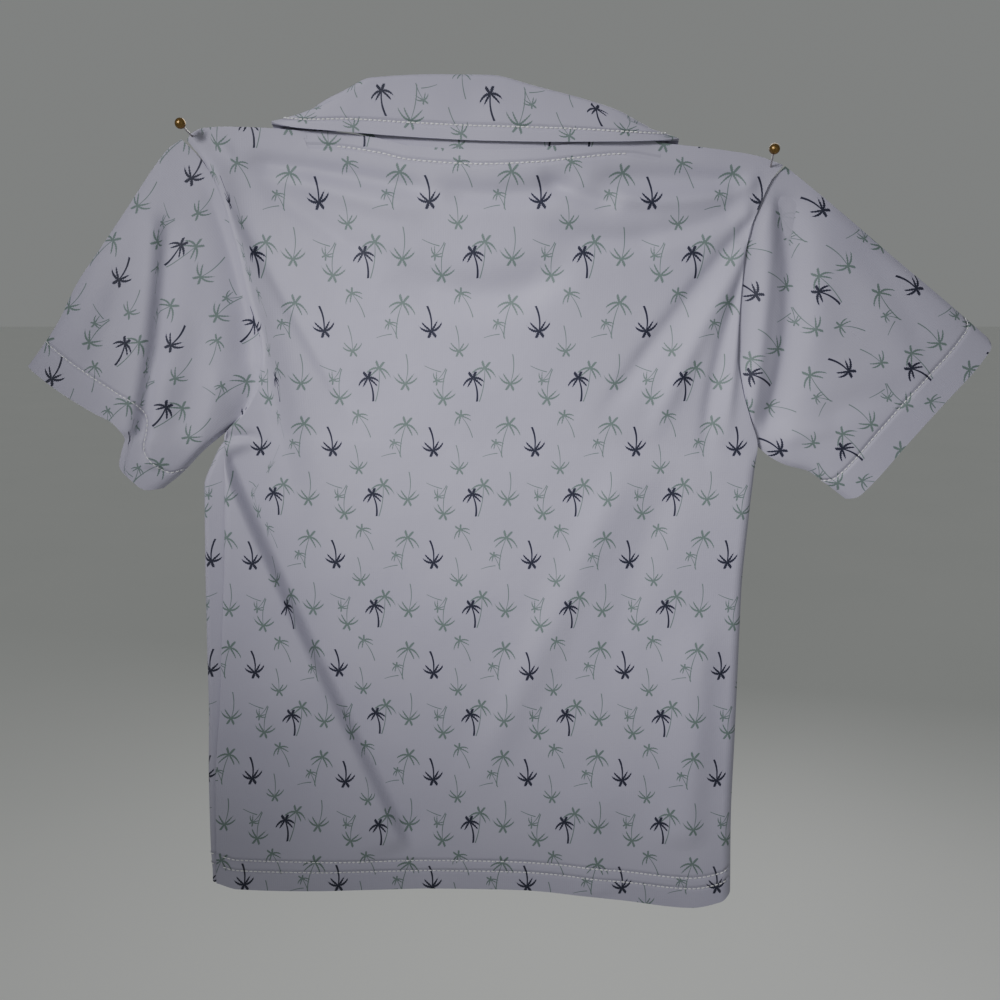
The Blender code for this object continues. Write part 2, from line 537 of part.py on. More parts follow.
def sleeve_ring(sizes, table, sign, inset):
    """Points round a sleeve, inset from its outer face: the back layer, then the front layer.

    Each layer's columns start at the rows of the body panel that it is sewn to.
    """
    v, share, seam = armhole(sizes, table, sign)
    upper, under, cuff = curve(sizes["upper"]), curve(sizes["under"]), curve(sizes["cuff"])
    layers = []
    for rows, way, depth in ((back_rows(), -1.0, 1.0), (front_rows(), 1.0, 0.8)):
        rows = rows[rows <= UNDERARM + 1e-9]
        edge_s = np.full_like(rows, 0.5 + 0.5 * sign)
        panel = back_surface(edge_s, rows)[0] if way < 0.0 else front_surface(edge_s, rows)
        s, u = grid(np.interp(rows, v, share), np.linspace(0.0, 1.0, SLEEVE_ROWS))
        edge = inset / np.linalg.norm(upper(u) - under(u), axis=-1)
        flat = blend(seam, cuff, upper, under, u, edge + s * (1.0 - 2.0 * edge),
                     reach=1, drop=1)
        round_off = (1.0 - np.abs(2.0 * s - 1.0) ** 4) ** 0.5
        middle = smooth(*zip(*sizes["y_middle"]), u)[..., 0]
        own = way * depth * smooth(*zip(*sizes["half_depth"]), u)[..., 0] * round_off
        at_seam = (panel[:, 1:2] - middle) * round_off
        y = own + (at_seam - own) * (1.0 - ease(u / 0.3))
        if way < 0.0:
            y = y - (fold_height(sizes["folds"], flat[..., 0], flat[..., 1]) * round_off
                     * ease(u / 0.1))
        thin = np.maximum(1.0 - inset / np.maximum(np.abs(y), 1e-6), 0.06)
        layers.append(np.stack([flat[..., 0], middle + y * thin, flat[..., 1]], axis=-1))
    return np.concatenate([layers[0], layers[1][-2:0:-1]])


def sleeve(name, sizes, table, sign):
    outer = sleeve_ring(sizes, table, sign, 0.0)
    inner = sleeve_ring(sizes, table, sign, CLOTH)
    return wall(name, outer, inner, ring=True)


def collar_face(inset):
    """Face of the folded strip, from the neck seam up, over the fold and down to the edge.

    facing is the way the stand's outer side looks, in degrees from +X towards +Y.
    """
    table = np.array(COLLAR)
    knots = distances(table[:, 3:6])
    t = [np.linspace(knots[i], knots[i + 1], int(table[i, 10]), endpoint=False)
         for i in range(len(knots) - 1)]
    t = np.r_[tuple(t) + (1.0,)]
    seam, fold, edge = [smooth(knots, table[:, k:k + 3], t) for k in (0, 3, 6)]
    facing = np.radians(smooth(knots, table[:, 9], t)[:, 0])
    outwards = np.stack([np.cos(facing), np.sin(facing), np.zeros_like(facing)], axis=1)
    rise = fold - seam
    rise = rise - (rise * outwards).sum(axis=1, keepdims=True) * outwards
    rise = rise / np.linalg.norm(rise, axis=1, keepdims=True)
    base = fold - FOLD_RADIUS * rise
    radius = FOLD_RADIUS - inset
    foot = seam + inset * outwards
    rows = [foot + (base - radius * outwards - foot) * k for k in (0.0, 0.5)]
    for turn in np.radians((0.0, 45.0, 90.0, 135.0, 180.0)):
        rows.append(base - radius * (math.cos(turn) * outwards - math.sin(turn) * rise))
    start = base + FOLD_RADIUS * outwards
    over = np.cross(edge - start, np.gradient(edge, axis=0))
    over = over / np.linalg.norm(over, axis=1, keepdims=True)
    rows += [start + (edge - start) * k - inset * over for k in (0.33, 0.66, 1.0)]
    return np.array(rows)


def collar():
    wall("collar", collar_face(0.0), collar_face(CLOTH))


def strip(name, width, offset):
    """Placket band made from the front panel's own points, moved off its face."""
    x = np.linspace(-0.5, 0.5, 3) * width
    face = front_surface(*grid(front_share(x), front_rows()[:PLACKET_ROWS]))
    face[..., 1] += offset
    return wall(name, face, face + np.array([0.0, CLOTH, 0.0]))


def buttons():
    profile = ((0.0, 0.0), (0.86, 0.0), (1.0, 0.3), (1.0, 0.85), (0.9, 1.0), (0.72, 0.98),
               (0.62, 0.72), (0.0, 0.72))
    profile = [(r * BUTTON_RADIUS, h * BUTTON_THICKNESS) for r, h in profile]
    for number, drop in enumerate(BUTTON_DROPS, start=1):
        points, faces = turned(profile, ROUND_SIDES)
        face = front_surface(np.array([[front_share(0.0)]]), np.array([[down_front(drop)]]))
        seat = face[0, 0] + np.array([0.0, SEAM + CLOTH + SEAM, 0.0])
        points = place(points, seat, seat + np.array([0.0, 1.0, 0.0]))
        solid("button_%d" % number, points, faces, (0.82, 0.82, 0.84), 0.35)


def pin(name, ball, entry):
    """Ball-head pin from the ball to its point in the wall. Returns its hole through the cloth."""
    ball, entry = np.array(ball), np.array(entry)
    way = (entry - ball) / np.linalg.norm(entry - ball)
    length = (PIN_DEPTH - ball[1]) / way[1]
    joint = math.asin(PIN_SHAFT_RADIUS / PIN_BALL_RADIUS)
    profile = [(0.0, length), (PIN_SHAFT_RADIUS * 0.55, length - 1.6),
               (PIN_SHAFT_RADIUS, length - 4.0)]
    for angle in np.linspace(joint, math.pi, 9, endpoint=False):
        profile.append((PIN_BALL_RADIUS * math.sin(angle), PIN_BALL_RADIUS * math.cos(angle)))
    profile.append((0.0, -PIN_BALL_RADIUS))
    points, faces = turned(profile, 12)
    solid(name, place(points, ball, ball + way), faces, (0.55, 0.40, 0.20), 0.3, metallic=1.0)
    bore = PIN_SHAFT_RADIUS + PIN_CLEARANCE
    hole, hole_faces = turned([(0.0, 6.0), (bore, 6.0), (bore, length), (0.0, length)], 12)
    return place(hole, ball, ball + way), hole_faces


def slit():
    """Box that opens the front behind the placket, from above the neckline down."""
    middle = np.full(2, front_share(0.0))
    ends = front_surface(middle, np.array([0.0, SLIT_SHARE * UNDERARM]))
    ends[0, 2] += 5.0
    points = [(x + dx, y, z) for x, _, z in ends for dx in (-0.5 * SLIT_WIDTH, 0.5 * SLIT_WIDTH)
              for y in (-12.0, 2.0)]
    faces = [(0, 1, 3, 2), (4, 6, 7, 5), (0, 4, 5, 1), (2, 3, 7, 6), (0, 2, 6, 4), (1, 5, 7, 3)]
    return np.array(points), faces


def build():
    for old in list(bpy.data.objects):
        bpy.data.objects.remove(old, do_unlink=True)
    back_panel, front_panel = back(), front()
    sleeve("sleeve_left", LEFT_SLEEVE, LEFT_EDGE, -1.0)
    sleeve("sleeve_right", RIGHT_SLEEVE, RIGHT_EDGE, 1.0)
    collar()
    strip("placket_over", OVER_WIDTH, SEAM)
    strip("placket_under", UNDER_WIDTH, -2.0 * CLOTH - SEAM)
    buttons()
    cut(front_panel, *slit())
    for name, ball, entry in PINS:
        hole = pin(name, ball, entry)
        cut(back_panel, *hole)
        cut(front_panel, *hole)


build()
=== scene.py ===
"""Toddler's short-sleeved polo shirt, hung by two ball-head pins with its back to the room.

Metres, +Z up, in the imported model's own frame: the wall is the plane y = 0, the viewer stands at -Y
and sees the back, and the origin lies midway between the points where the pins enter the cloth.
The wearer's left is at -X. Each piece of cloth is a thin shell on its solid's form, with finer
creases, the printed pattern laid along its own grain, and its sewing as separate thread.
"""
import math

import bpy
import numpy as np
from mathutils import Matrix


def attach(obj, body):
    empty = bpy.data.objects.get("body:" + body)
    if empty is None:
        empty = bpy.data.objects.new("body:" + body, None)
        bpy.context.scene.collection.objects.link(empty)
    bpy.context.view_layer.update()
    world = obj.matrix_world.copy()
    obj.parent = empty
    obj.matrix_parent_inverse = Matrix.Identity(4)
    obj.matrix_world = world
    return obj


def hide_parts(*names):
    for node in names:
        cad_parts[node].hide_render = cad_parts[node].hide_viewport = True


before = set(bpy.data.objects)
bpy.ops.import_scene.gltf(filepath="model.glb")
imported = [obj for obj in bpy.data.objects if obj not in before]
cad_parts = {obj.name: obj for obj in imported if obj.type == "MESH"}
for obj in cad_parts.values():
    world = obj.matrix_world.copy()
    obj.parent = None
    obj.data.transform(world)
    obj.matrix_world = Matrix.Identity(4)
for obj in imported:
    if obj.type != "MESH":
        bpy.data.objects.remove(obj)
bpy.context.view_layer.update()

# === Back panel ===================================================================================
# One piece of printed polyester interlock, cut with the grain down the shirt. It hangs from the two
# pins by its shoulder seams. The hem is one layer here, with the twin row that holds a real turn-up.

MM = 0.001
LAYER = 0.9                 # thickness of one layer of the cloth, mm
SEAM = 0.3                  # gap between two pieces at a seam, mm
BACK_STANDS = 1.2           # the back's right side lies this far outside its own edge curves

# Shoulder seams and back neckline, from the left armhole to the right one, in mm.
BACK_TOP = (
    # x, y, z
    (-139.5, -9.0, 6.0), (-136.0, -9.0, 9.6), (-131.0, -9.0, 11.4), (-120.0, -9.0, 12.0),
    (-101.0, -9.5, 11.4), (-86.0, -10.3, 10.2), (-72.0, -12.0, 9.6), (-50.0, -14.4, 6.4),
    (-35.0, -15.4, 3.0), (0.0, -16.0, 0.9), (27.0, -15.6, 2.1), (45.0, -14.4, 4.1),
    (70.0, -12.0, 6.4), (86.0, -10.3, 4.4), (101.0, -9.5, 3.0), (118.0, -9.0, 0.9),
    (130.0, -9.0, -1.2), (141.8, -9.0, -5.2),
)
# Left armhole and side seam. The side seam is drawn round to the back.
LEFT_EDGE = (
    # x, y, z, y of the front panel, how far the front wraps round past the seam
    (-139.5, -9.0, 6.0, -5.6, 0.0), (-132.0, -10.2, -3.5, -5.6, 0.0),
    (-124.5, -11.5, -19.0, -5.6, 0.0), (-118.0, -12.4, -43.0, -5.6, 0.0),
    (-113.0, -13.0, -68.0, -5.6, 0.0), (-107.5, -13.0, -92.0, -5.6, 0.0),
    (-110.5, -12.6, -108.0, -5.8, 0.0), (-118.0, -12.0, -122.5, -6.6, 0.0),
    (-127.0, -11.3, -132.0, -8.4, 0.0), (-127.7, -11.6, -135.5, -10.0, 0.4),
    (-128.2, -11.7, -139.0, -11.4, 2.9), (-129.0, -11.6, -146.0, -11.5, 6.0),
    (-129.5, -11.5, -160.0, -11.5, 11.0), (-131.5, -11.5, -197.0, -11.5, 10.5),
    (-135.0, -11.5, -243.0, -11.5, 8.5), (-138.0, -11.5, -279.0, -11.5, 6.5),
    (-142.0, -11.5, -316.0, -11.5, 4.5), (-143.5, -11.5, -354.0, -11.5, 4.0),
    (-144.5, -11.5, -376.0, -11.5, 2.5),
)
# Right armhole and side seam.
RIGHT_EDGE = (
    # x, y, z, y of the front panel, how far the back stands proud of the seam
    (141.8, -9.0, -5.2, -5.6, 0.0), (136.0, -10.2, -12.6, -5.6, 0.0),
    (131.0, -11.5, -24.0, -5.6, 0.0), (126.6, -12.4, -36.0, -5.6, 0.0),
    (124.6, -12.8, -50.0, -5.6, 0.0), (123.3, -13.0, -75.0, -5.6, 0.0),
    (123.6, -12.8, -95.0, -5.6, 0.0), (126.5, -12.4, -111.0, -5.8, 0.0),
    (131.0, -11.8, -125.0, -6.4, 0.0), (135.5, -11.0, -140.0, -7.4, 0.0),
    (134.9, -8.8, -152.0, -7.8, 3.4), (133.2, -8.4, -177.0, -8.1, 4.6),
    (131.2, -8.4, -217.0, -8.1, 5.0), (131.2, -8.4, -290.0, -8.1, 5.0),
    (131.0, -8.4, -327.0, -8.1, 5.0), (132.5, -8.4, -381.0, -8.1, 4.5),
)
HEM = (
    # x, y, z
    (-144.5, -11.5, -376.0), (-133.0, -12.0, -379.2), (-92.0, -13.0, -379.7),
    (-60.0, -13.5, -378.6), (-29.0, -14.0, -377.3), (19.0, -13.5, -378.5),
    (69.0, -13.0, -383.2), (110.0, -12.0, -388.0), (126.0, -10.5, -385.0),
    (132.5, -8.4, -381.0),
)
BACK_BULGE = 2.6            # how far the back stands out at chest height
ROLL_RADIUS = 6.0           # of the right side, where front and back meet
UNDERARM = 0.361            # share of the way from the shoulder to the hem
BACK_GRID = (190, 226)

# Creases of the back. bend bows the line sideways, the widths are measured on either side of it,
# and the height is towards the viewer. A ridge beside a valley makes cloth that laps over itself.
BACK_CREASES = (
    # x0, z0, x1, z1, bend, width_left, width_right, height, fade_in, fade_out
    (-131.1, 1.1, -91.5, -186.3, 4.8, 4.2, 8.5, 3.4, 0.06, 0.45),       # roll over the left sleeve
    (-122.9, -11.5, -55.3, -140.7, -1.2, 3.5, 6.0, -2.0, 0.15, 0.40),
    (-131.0, 8.0, -116.0, -4.0, 2.0, 2.2, 3.0, 1.4, 0.10, 0.50),        # pinch at the left pin
    (-109.6, -8.8, -38.0, -56.6, -2.1, 5.0, 6.0, -1.8, 0.20, 0.35),     # slack between the pins
    (-56.5, -48.2, 50.8, -47.3, -17.3, 9.0, 10.0, -3.6, 0.30, 0.30),
    (-103.8, -6.1, -20.5, -28.8, -2.3, 5.0, 6.0, 2.0, 0.25, 0.35),
    (-115.9, -3.5, -16.6, -18.8, 0.7, 4.5, 4.5, -3.1, 0.15, 0.20),      # hollows under the neck seam
    (-27.4, -15.6, 47.9, -12.4, -5.2, 5.0, 6.0, -3.4, 0.25, 0.25),
    (24.3, -8.8, 68.4, -23.8, -3.0, 4.0, 4.0, -2.4, 0.25, 0.30),
    (47.9, -12.9, 128.4, -14.2, 2.0, 5.5, 5.0, -3.0, 0.20, 0.15),
    (55.1, -18.3, 132.1, -11.5, -6.6, 3.5, 4.0, 1.9, 0.20, 0.10),
    (22.1, -33.4, 127.0, -23.3, -11.0, 6.0, 6.0, -2.6, 0.25, 0.12),
    (74.5, -41.7, 129.0, -25.2, -4.7, 5.0, 5.0, 1.5, 0.25, 0.10),
    (130.9, -27.0, 49.8, -135.7, -2.2, 4.0, 7.0, -2.4, 0.08, 0.40),     # pleats from the right pin
    (129.5, -36.2, 79.5, -140.7, -1.9, 5.0, 5.0, 2.2, 0.10, 0.30),
    (130.3, -44.5, 109.2, -155.7, -6.1, 3.5, 4.5, -2.0, 0.10, 0.35),
    (130.6, -39.9, 119.5, -140.7, -2.3, 3.0, 3.0, 1.7, 0.12, 0.30),
    (76.9, -135.7, -10.6, -327.0, 0.6, 9.0, 10.0, 2.0, 0.20, 0.25),     # long soft folds below
    (101.5, -135.7, 59.5, -265.8, -3.3, 9.0, 9.0, -1.2, 0.30, 0.40),
    (-133.4, -141.7, -41.5, -356.9, -2.2, 24.0, 3.4, 3.8, 0.03, 0.06),  # long diagonal lap
    (-127.3, -139.7, -35.5, -356.9, -1.4, 3.6, 16.0, -3.2, 0.03, 0.08),
    (110.8, -212.3, 105.9, -356.9, 0.2, 14.0, 9.0, 2.8, 0.30, 0.10),
    (-140.1, -138.7, -106.5, -136.2, 3.3, 2.0, 2.5, -2.2, 0.15, 0.25),  # pucker at the underarm
    (52.0, -300.0, 60.0, -382.0, 0.0, 12.0, 14.0, 1.0, 0.40, 0.05),
)


def smooth(knots, values, t):
    """Cubic curve through the values at rising knots, with slopes that never overshoot."""
    knots = np.asarray(knots, float)
    values = np.asarray(values, float).reshape(len(knots), -1)
    step = np.diff(knots)[:, None]
    slope = np.diff(values, axis=0) / step
    before, after = slope[:-1], slope[1:]
    level = before * after <= 0.0
    tangent = np.concatenate([slope[:1], np.zeros_like(before), slope[-1:]])
    tangent[1:-1] = np.where(level, 0.0, 2.0 * before * after / np.where(level, 1.0, before + after))
    t = np.asarray(t, float)
    i = np.clip(np.searchsorted(knots, t, side="right") - 1, 0, len(knots) - 2)
    h = step[i]
    u = (t - knots[i])[..., None] / h
    return ((2 * u ** 3 - 3 * u ** 2 + 1) * values[i] + (u ** 3 - 2 * u ** 2 + u) * h * tangent[i]
            + (3 * u ** 2 - 2 * u ** 3) * values[i + 1] + (u ** 3 - u ** 2) * h * tangent[i + 1])


def distances(points):
    """How far along a row of points each one lies, from 0 to 1: its running length over the whole."""
    run = np.r_[0.0, np.cumsum(np.linalg.norm(np.diff(points, axis=0), axis=1))]
    return run / run[-1]


def curve(points, axis=None):
    """The smooth curve through a table's points. t runs 0 to 1 along one axis, or by distance."""
    points = np.asarray(points, float)
    if axis is None:
        knots = distances(points)
    else:
        knots = (points[:, axis] - points[0, axis]) / (points[-1, axis] - points[0, axis])
    return lambda t: smooth(knots, points, t)


def blend(left, right, top, bottom, s, v, reach=3, drop=3):
    """Surface between four edge curves: s runs left to right and v from top to bottom.

    It is the flat patch between the corners plus each edge's own bend, which fades out across the
    patch with the power reach for the sides and drop for the ends.
    """
    s, v = s[..., None], v[..., None]
    a, b, c, d = top(0.0), top(1.0), bottom(0.0), bottom(1.0)
    at_left, at_right = left(v[..., 0]) - (a + (c - a) * v), right(v[..., 0]) - (b + (d - b) * v)
    at_top, at_bottom = top(s[..., 0]) - (a + (b - a) * s), bottom(s[..., 0]) - (c + (d - c) * s)
    flat = (1 - v) * (a + (b - a) * s) + v * (c + (d - c) * s)
    return (flat + at_left * (1 - s) ** reach + at_right * s ** reach
            + at_top * (1 - v) ** drop + at_bottom * v ** drop)


def ease(t):
    """0 to 1 with level ends: 3t^2 - 2t^3."""
    t = np.clip(t, 0.0, 1.0)
    return t * t * (3.0 - 2.0 * t)


def quarter_round(distance, radius):
    """0 at an edge, rising as a quarter circle to 1 at one radius from it."""
    t = np.clip(distance / radius, 0.0, 1.0)
    return np.sqrt(1.0 - (1.0 - t) ** 2)


def crease_height(creases, x, z):
    """Sum of the creases: height * exp(-(distance from the bowed line / width)^2), faded at the ends."""
    total = np.zeros_like(x)
    for x0, z0, x1, z1, bend, width_left, width_right, height, fade_in, fade_out in creases:
        length = math.hypot(x1 - x0, z1 - z0)
        along_x, along_z = (x1 - x0) / length, (z1 - z0) / length
        t = ((x - x0) * along_x + (z - z0) * along_z) / length
        across = (x - x0) * -along_z + (z - z0) * along_x - bend * 4.0 * t * (1.0 - t)
        width = np.where(across < 0.0, width_left, width_right)
        ends = ease(t / fade_in) * ease((1.0 - t) / fade_out)
        total += height * ends * np.exp(-(across / width) ** 2)
    return total


def slack(x, z, size):
    """Slight unevenness of hung cloth: four long crossing waves, size mm high in all."""
    return size * 0.3 * (np.sin(x / 13.0 + z / 41.0 + 0.6) + np.sin(z / 17.0 - x / 37.0 + 2.1)
                         + np.sin((x + z) / 9.5 + 4.0) * 0.5 + np.sin((x - 1.7 * z) / 14.0 + 1.2) * 0.6)


def grid(columns, rows):
    return np.meshgrid(columns, rows, indexing="ij")


def unit(vectors):
    """Vectors along the last axis, each divided by its length."""
    return vectors / np.linalg.norm(vectors, axis=-1, keepdims=True)


def to_last_row(points):
    """Running length from each point of a grid to its column's last row."""
    steps = np.linalg.norm(np.diff(points, axis=1), axis=-1)
    return np.concatenate([np.cumsum(steps[:, ::-1], axis=1)[:, ::-1], np.zeros((len(points), 1))], 1)


def row_at(points, lengths, length):
    """The row of a grid at one running length from its last row, the step down there, and the index
    of the row above it in each column."""
    at = np.array([np.interp(-length, -run, np.arange(len(run))) for run in lengths])
    low = np.floor(at).astype(int)
    share = (at - low)[:, None]
    k = np.arange(len(points))
    above, below = points[k, low], points[k, low + 1]
    return above * (1.0 - share) + below * share, below - above, low


def longest(points, axis):
    """The longest line of a grid along an axis, in metres."""
    return float(np.linalg.norm(np.diff(points, axis=axis), axis=-1).sum(axis=axis).max()) * MM


def linked(name, mesh):
    thing = bpy.data.objects.new(name, mesh)
    bpy.context.scene.collection.objects.link(thing)
    return thing


def side(table, columns):
    return curve([[row[c] for c in columns] for row in table], axis=2)


def value_down(table, column, v):
    """One column of an edge table at v, the share of the way down."""
    z = np.array([row[2] for row in table])
    return smooth((z - z[0]) / (z[-1] - z[0]), [row[column] for row in table], v)[..., 0]


def outward(points, towards):
    """Unit normals of a grid, its step down crossed with its step across, turned to one side."""
    n = np.cross(np.gradient(points, axis=1), np.gradient(points, axis=0))
    n = n / np.maximum(np.linalg.norm(n, axis=-1, keepdims=True), 1e-9)
    return n * np.sign((n * np.asarray(towards, float)).sum(axis=-1).mean())


LEFT_X = LEFT_EDGE[0][0]
BODY_WIDTH = RIGHT_EDGE[0][0] - LEFT_X


def back_form(s, v):
    """The back between its four edges, bulged at the chest and rolled over at its right side."""
    points = blend(side(LEFT_EDGE, (0, 1, 2)), side(RIGHT_EDGE, (0, 1, 2)),
                   curve(BACK_TOP, axis=0), curve(HEM, axis=0), s, v)
    roll = value_down(RIGHT_EDGE, 4, v) * quarter_round((1.0 - s) * BODY_WIDTH, ROLL_RADIUS) * s ** 3
    bulge = BACK_BULGE * np.sin(math.pi * s) ** 0.8 * np.sin(math.pi * v ** 0.8) ** 0.7
    points[..., 1] -= roll + bulge
    return points


def back_face(s, v):
    """Right side of the back: its form, with the creases and the slack pushed towards the viewer."""
    points = back_form(s, v)
    x, z = points[..., 0], points[..., 2]
    from_left, from_right = s * BODY_WIDTH, (1.0 - s) * BODY_WIDTH
    clear = quarter_round(from_left, 5.0) * quarter_round(from_right, 5.0) * ease(v / 0.03)
    lap = 1.1 * quarter_round(from_left, 3.0) * (1.0 - ease((v - 0.27) / 0.1)) * (1.0 - s) ** 8
    push = clear * (crease_height(BACK_CREASES, x, z) + slack(x, z, 0.5)) + lap + BACK_STANDS
    points[..., 1] -= push
    return points


# Where the print's dark palms fall on the back: the height of each row of them, how far the row's
# second palm stands from the centre, and their spacing, which the pull of the pins stretches.
PRINT_ROWS = (
    # z, x, spacing, mm
    (-433.8, -29.3, 51.0),    (-372.6, -28.3, 50.6), (-311.4, -27.1, 49.4), (-252.7, -26.3, 49.1),
    (-194.3, -25.6, 49.3),
    (-137.3, -25.0, 50.0), (-79.2, -25.2, 52.0), (-19.0, -25.4, 52.4),
    (41.0, -25.6, 52.4),
)
REPEAT = (50.0, 59.4)       # of the print, mm, across and down
PALM_MIDDLE = 3.2           # middle of the dark hanging palm above its crown, mm
# The long lap and the armhole crease swallow this much of the pattern on their left.
SWALLOWED = (
    # z, x of the lap, mm swallowed
    (-380.0, -30.0, 0.0), (-340.0, -49.0, 2.0), (-311.0, -61.0, 4.0), (-278.0, -75.0, 6.0),
    (-220.0, -99.0, 7.0), (-163.0, -116.0, 9.0), (-137.0, -98.0, 15.0), (-79.0, -104.0, 19.0),
    (-20.0, -120.0, 19.0), (12.0, -132.0, 19.0),
)


def print_on_body(x, z):
    """Place on the uncreased print, in mm, of each point of the body: its row, and its share across."""
    z_row, x_row, spacing = np.array(PRINT_ROWS).T
    z_lap, x_lap, lost = np.array(SWALLOWED).T
    shift = np.interp(z, z_lap, lost) * (1.0 - ease((x - np.interp(z, z_lap, x_lap)) / 7.0 + 0.5))
    across = (x - shift - np.interp(z, z_row, x_row)) / np.interp(z, z_row, spacing)
    rows = np.interp(z, z_row, np.arange(len(z_row)))
    return np.stack([across * REPEAT[0], rows * REPEAT[1] + PALM_MIDDLE], axis=-1)


def signed_volume(points, quads):
    """Volume inside a closed mesh: the sum of its triangles' tetrahedra to the origin."""
    a, b, c, d = (points[quads[:, k]] for k in range(4))
    return ((a * np.cross(b, c)).sum() + (a * np.cross(c, d)).sum()) / 6.0


def cloth_shell(name, face, inner, printed, marks, materials, ring=False):
    """Closed shell on two grids of points, in mm: its right side, its wrong side and its cut edges.

    A ring joins its last column to its first. printed is each point's place on the print, with one
    column more on a ring. marks are distances in mm from a sewn edge.
    """
    columns, rows = face.shape[:2]
    count = columns * rows
    points = np.concatenate([face.reshape(-1, 3), inner.reshape(-1, 3)])
    wide = columns if ring else columns - 1
    i, k = grid(np.arange(wide), np.arange(rows - 1))
    i, k = i.ravel(), k.ravel()
    j = (i + 1) % columns
    index = lambda a, b: a * rows + b
    across, down = np.arange(wide), np.arange(rows - 1)
    outer = np.stack([index(i, k), index(i, k + 1), index(j, k + 1), index(j, k)], axis=1)
    uv_outer = np.stack([i * rows + k, i * rows + k + 1, (i + 1) * rows + k + 1, (i + 1) * rows + k], 1)
    rims, uv_rims = [], []
    for row, flip in ((0, 1), (rows - 1, -1)):
        a, b = index(across, row), index((across + 1) % columns, row)
        rims.append(np.stack([a, b, b + count, a + count], 1)[:, ::flip])
        a, b = across * rows + row, (across + 1) * rows + row
        uv_rims.append(np.stack([a, b, b, a], 1)[:, ::flip])
    if not ring:
        for column, flip in ((0, -1), (columns - 1, 1)):
            a, b = index(column, down), index(column, down + 1)
            rims.append(np.stack([a, b, b + count, a + count], 1)[:, ::flip])
            uv_rims.append(np.stack([a, b, b, a], 1)[:, ::flip])
    quads = np.concatenate([outer, outer[:, ::-1] + count] + rims)
    corners = np.concatenate([uv_outer, uv_outer[:, ::-1]] + uv_rims)
    if signed_volume(points, quads) < 0.0:
        quads, corners = quads[:, ::-1], corners[:, ::-1]
    mesh = bpy.data.meshes.new(name)
    mesh.from_pydata(points * MM, [], quads)
    layer = mesh.uv_layers.new(name="print")
    layer.data.foreach_set("uv", (printed.reshape(-1, 2)[corners.ravel()] * MM).astype(np.float32).ravel())
    for mark, values in marks.items():
        mesh.attributes.new(mark, "FLOAT", "POINT").data.foreach_set(
            "value", np.tile(values.ravel(), 2).astype(np.float32))
    for surface in materials:
        mesh.materials.append(surface)
    slots = np.zeros(len(quads), np.int32)
    slots[len(outer):2 * len(outer)] = 1
    mesh.polygons.foreach_set("material_index", slots)
    mesh.shade_smooth()
    mesh.set_sharp_from_angle(angle=math.radians(55.0))
    mesh.validate()
    return linked(name, mesh)


# --- Printed interlock: the print and the knit ----------------------------------------------------
# Each palm is a crown of six drooping fronds on a bowed trunk. Places are shares of the repeat from
# the dark hanging palm, across and down; the trunk runs from the crown to its foot, in mm.
PALMS = (
    # ink, crown across and down, trunk across and down, frond length, bow, half the width of a
    # frond and of the trunk
    ("navy", 0.000, 0.000, -1.8, -11.7, 5.5, 0.9, 0.64, 0.50),
    ("navy", 0.392, 0.396, 1.8, 11.6, 5.3, -0.9, 0.64, 0.50),
    ("sage", 0.276, -0.289, 5.6, 11.0, 4.7, -0.7, 0.44, 0.24),
    ("sage", 0.739, -0.214, -3.2, 16.3, 6.3, 0.9, 0.54, 0.27),
    ("sage", 0.256, 0.164, -1.5, -12.3, 4.8, 0.6, 0.46, 0.24),
    ("sage", 0.746, 0.434, 0.7, -14.4, 5.7, 1.0, 0.52, 0.26),
    ("sage", 0.500, 0.315, -2.5, 16.5, 5.8, -0.8, 0.52, 0.26),
    ("sage", 0.106, 0.560, 1.8, -14.4, 5.6, -0.9, 0.52, 0.26),
    ("sage", 0.616, -0.057, 3.4, 7.5, 3.5, -0.4, 0.36, 0.22),
    ("sage", 0.049, 0.409, 4.2, -5.9, 3.5, 0.4, 0.36, 0.22),
    ("sage", -0.070, 0.289, 8.0, 3.1, 0.0, 0.3, 0.27, 0.24),
    ("sage", 0.487, 0.060, 7.5, -1.8, 0.0, -0.3, 0.25, 0.23),
)
FROND_TURN = math.radians(50.0)     # between neighbouring fronds
FROND_DROOP = 0.80                  # drop of a level frond's tip, as a share of its length
INK_EDGE = 0.16                     # softness of a printed edge, mm
RIB_SCALE = 1000.0 / 1.1 / 3.1416   # ribs 1.09 mm apart; real ones, about 0.7 mm, are too fine
COURSE_SCALE = 1000.0 / 1.1 / 2.6   # courses 0.90 mm apart
KNIT_DEPTH, CRUMPLE_DEPTH = 0.045, 0.5      # relief of the ribs, and of worn cloth, mm
ROW_DEPTH, ROW_FALL = -0.9, -0.8            # relief of a sewn row, mm, and its fall, per mm squared


def linear(colour):
    """An sRGB hex colour as linear light: ((c + 0.055) / 1.055)^2.4, or c / 12.92 where dark."""
    values = [int(colour[k:k + 2], 16) / 255.0 for k in (1, 3, 5)]
    return tuple(c / 12.92 if c <= 0.04045 else ((c + 0.055) / 1.055) ** 2.4 for c in values) + (1.0,)


def add(tree, kind, inputs=(), **settings):
    """Adds a node. A kind in capitals is a maths node's operation. Inputs are values, sockets or
    nodes, by place or by name."""
    if kind.isupper():
        kind, settings["operation"] = "ShaderNodeMath", kind
    node = tree.nodes.new(kind)
    for name, value in settings.items():
        setattr(node, name, value)
    for key, value in (inputs.items() if isinstance(inputs, dict) else enumerate(inputs)):
        if isinstance(value, bpy.types.Node):
            value = value.outputs[0]
        if isinstance(value, bpy.types.NodeSocket):
            tree.links.new(value, node.inputs[key])
        else:
            node.inputs[key].default_value = value
    return node


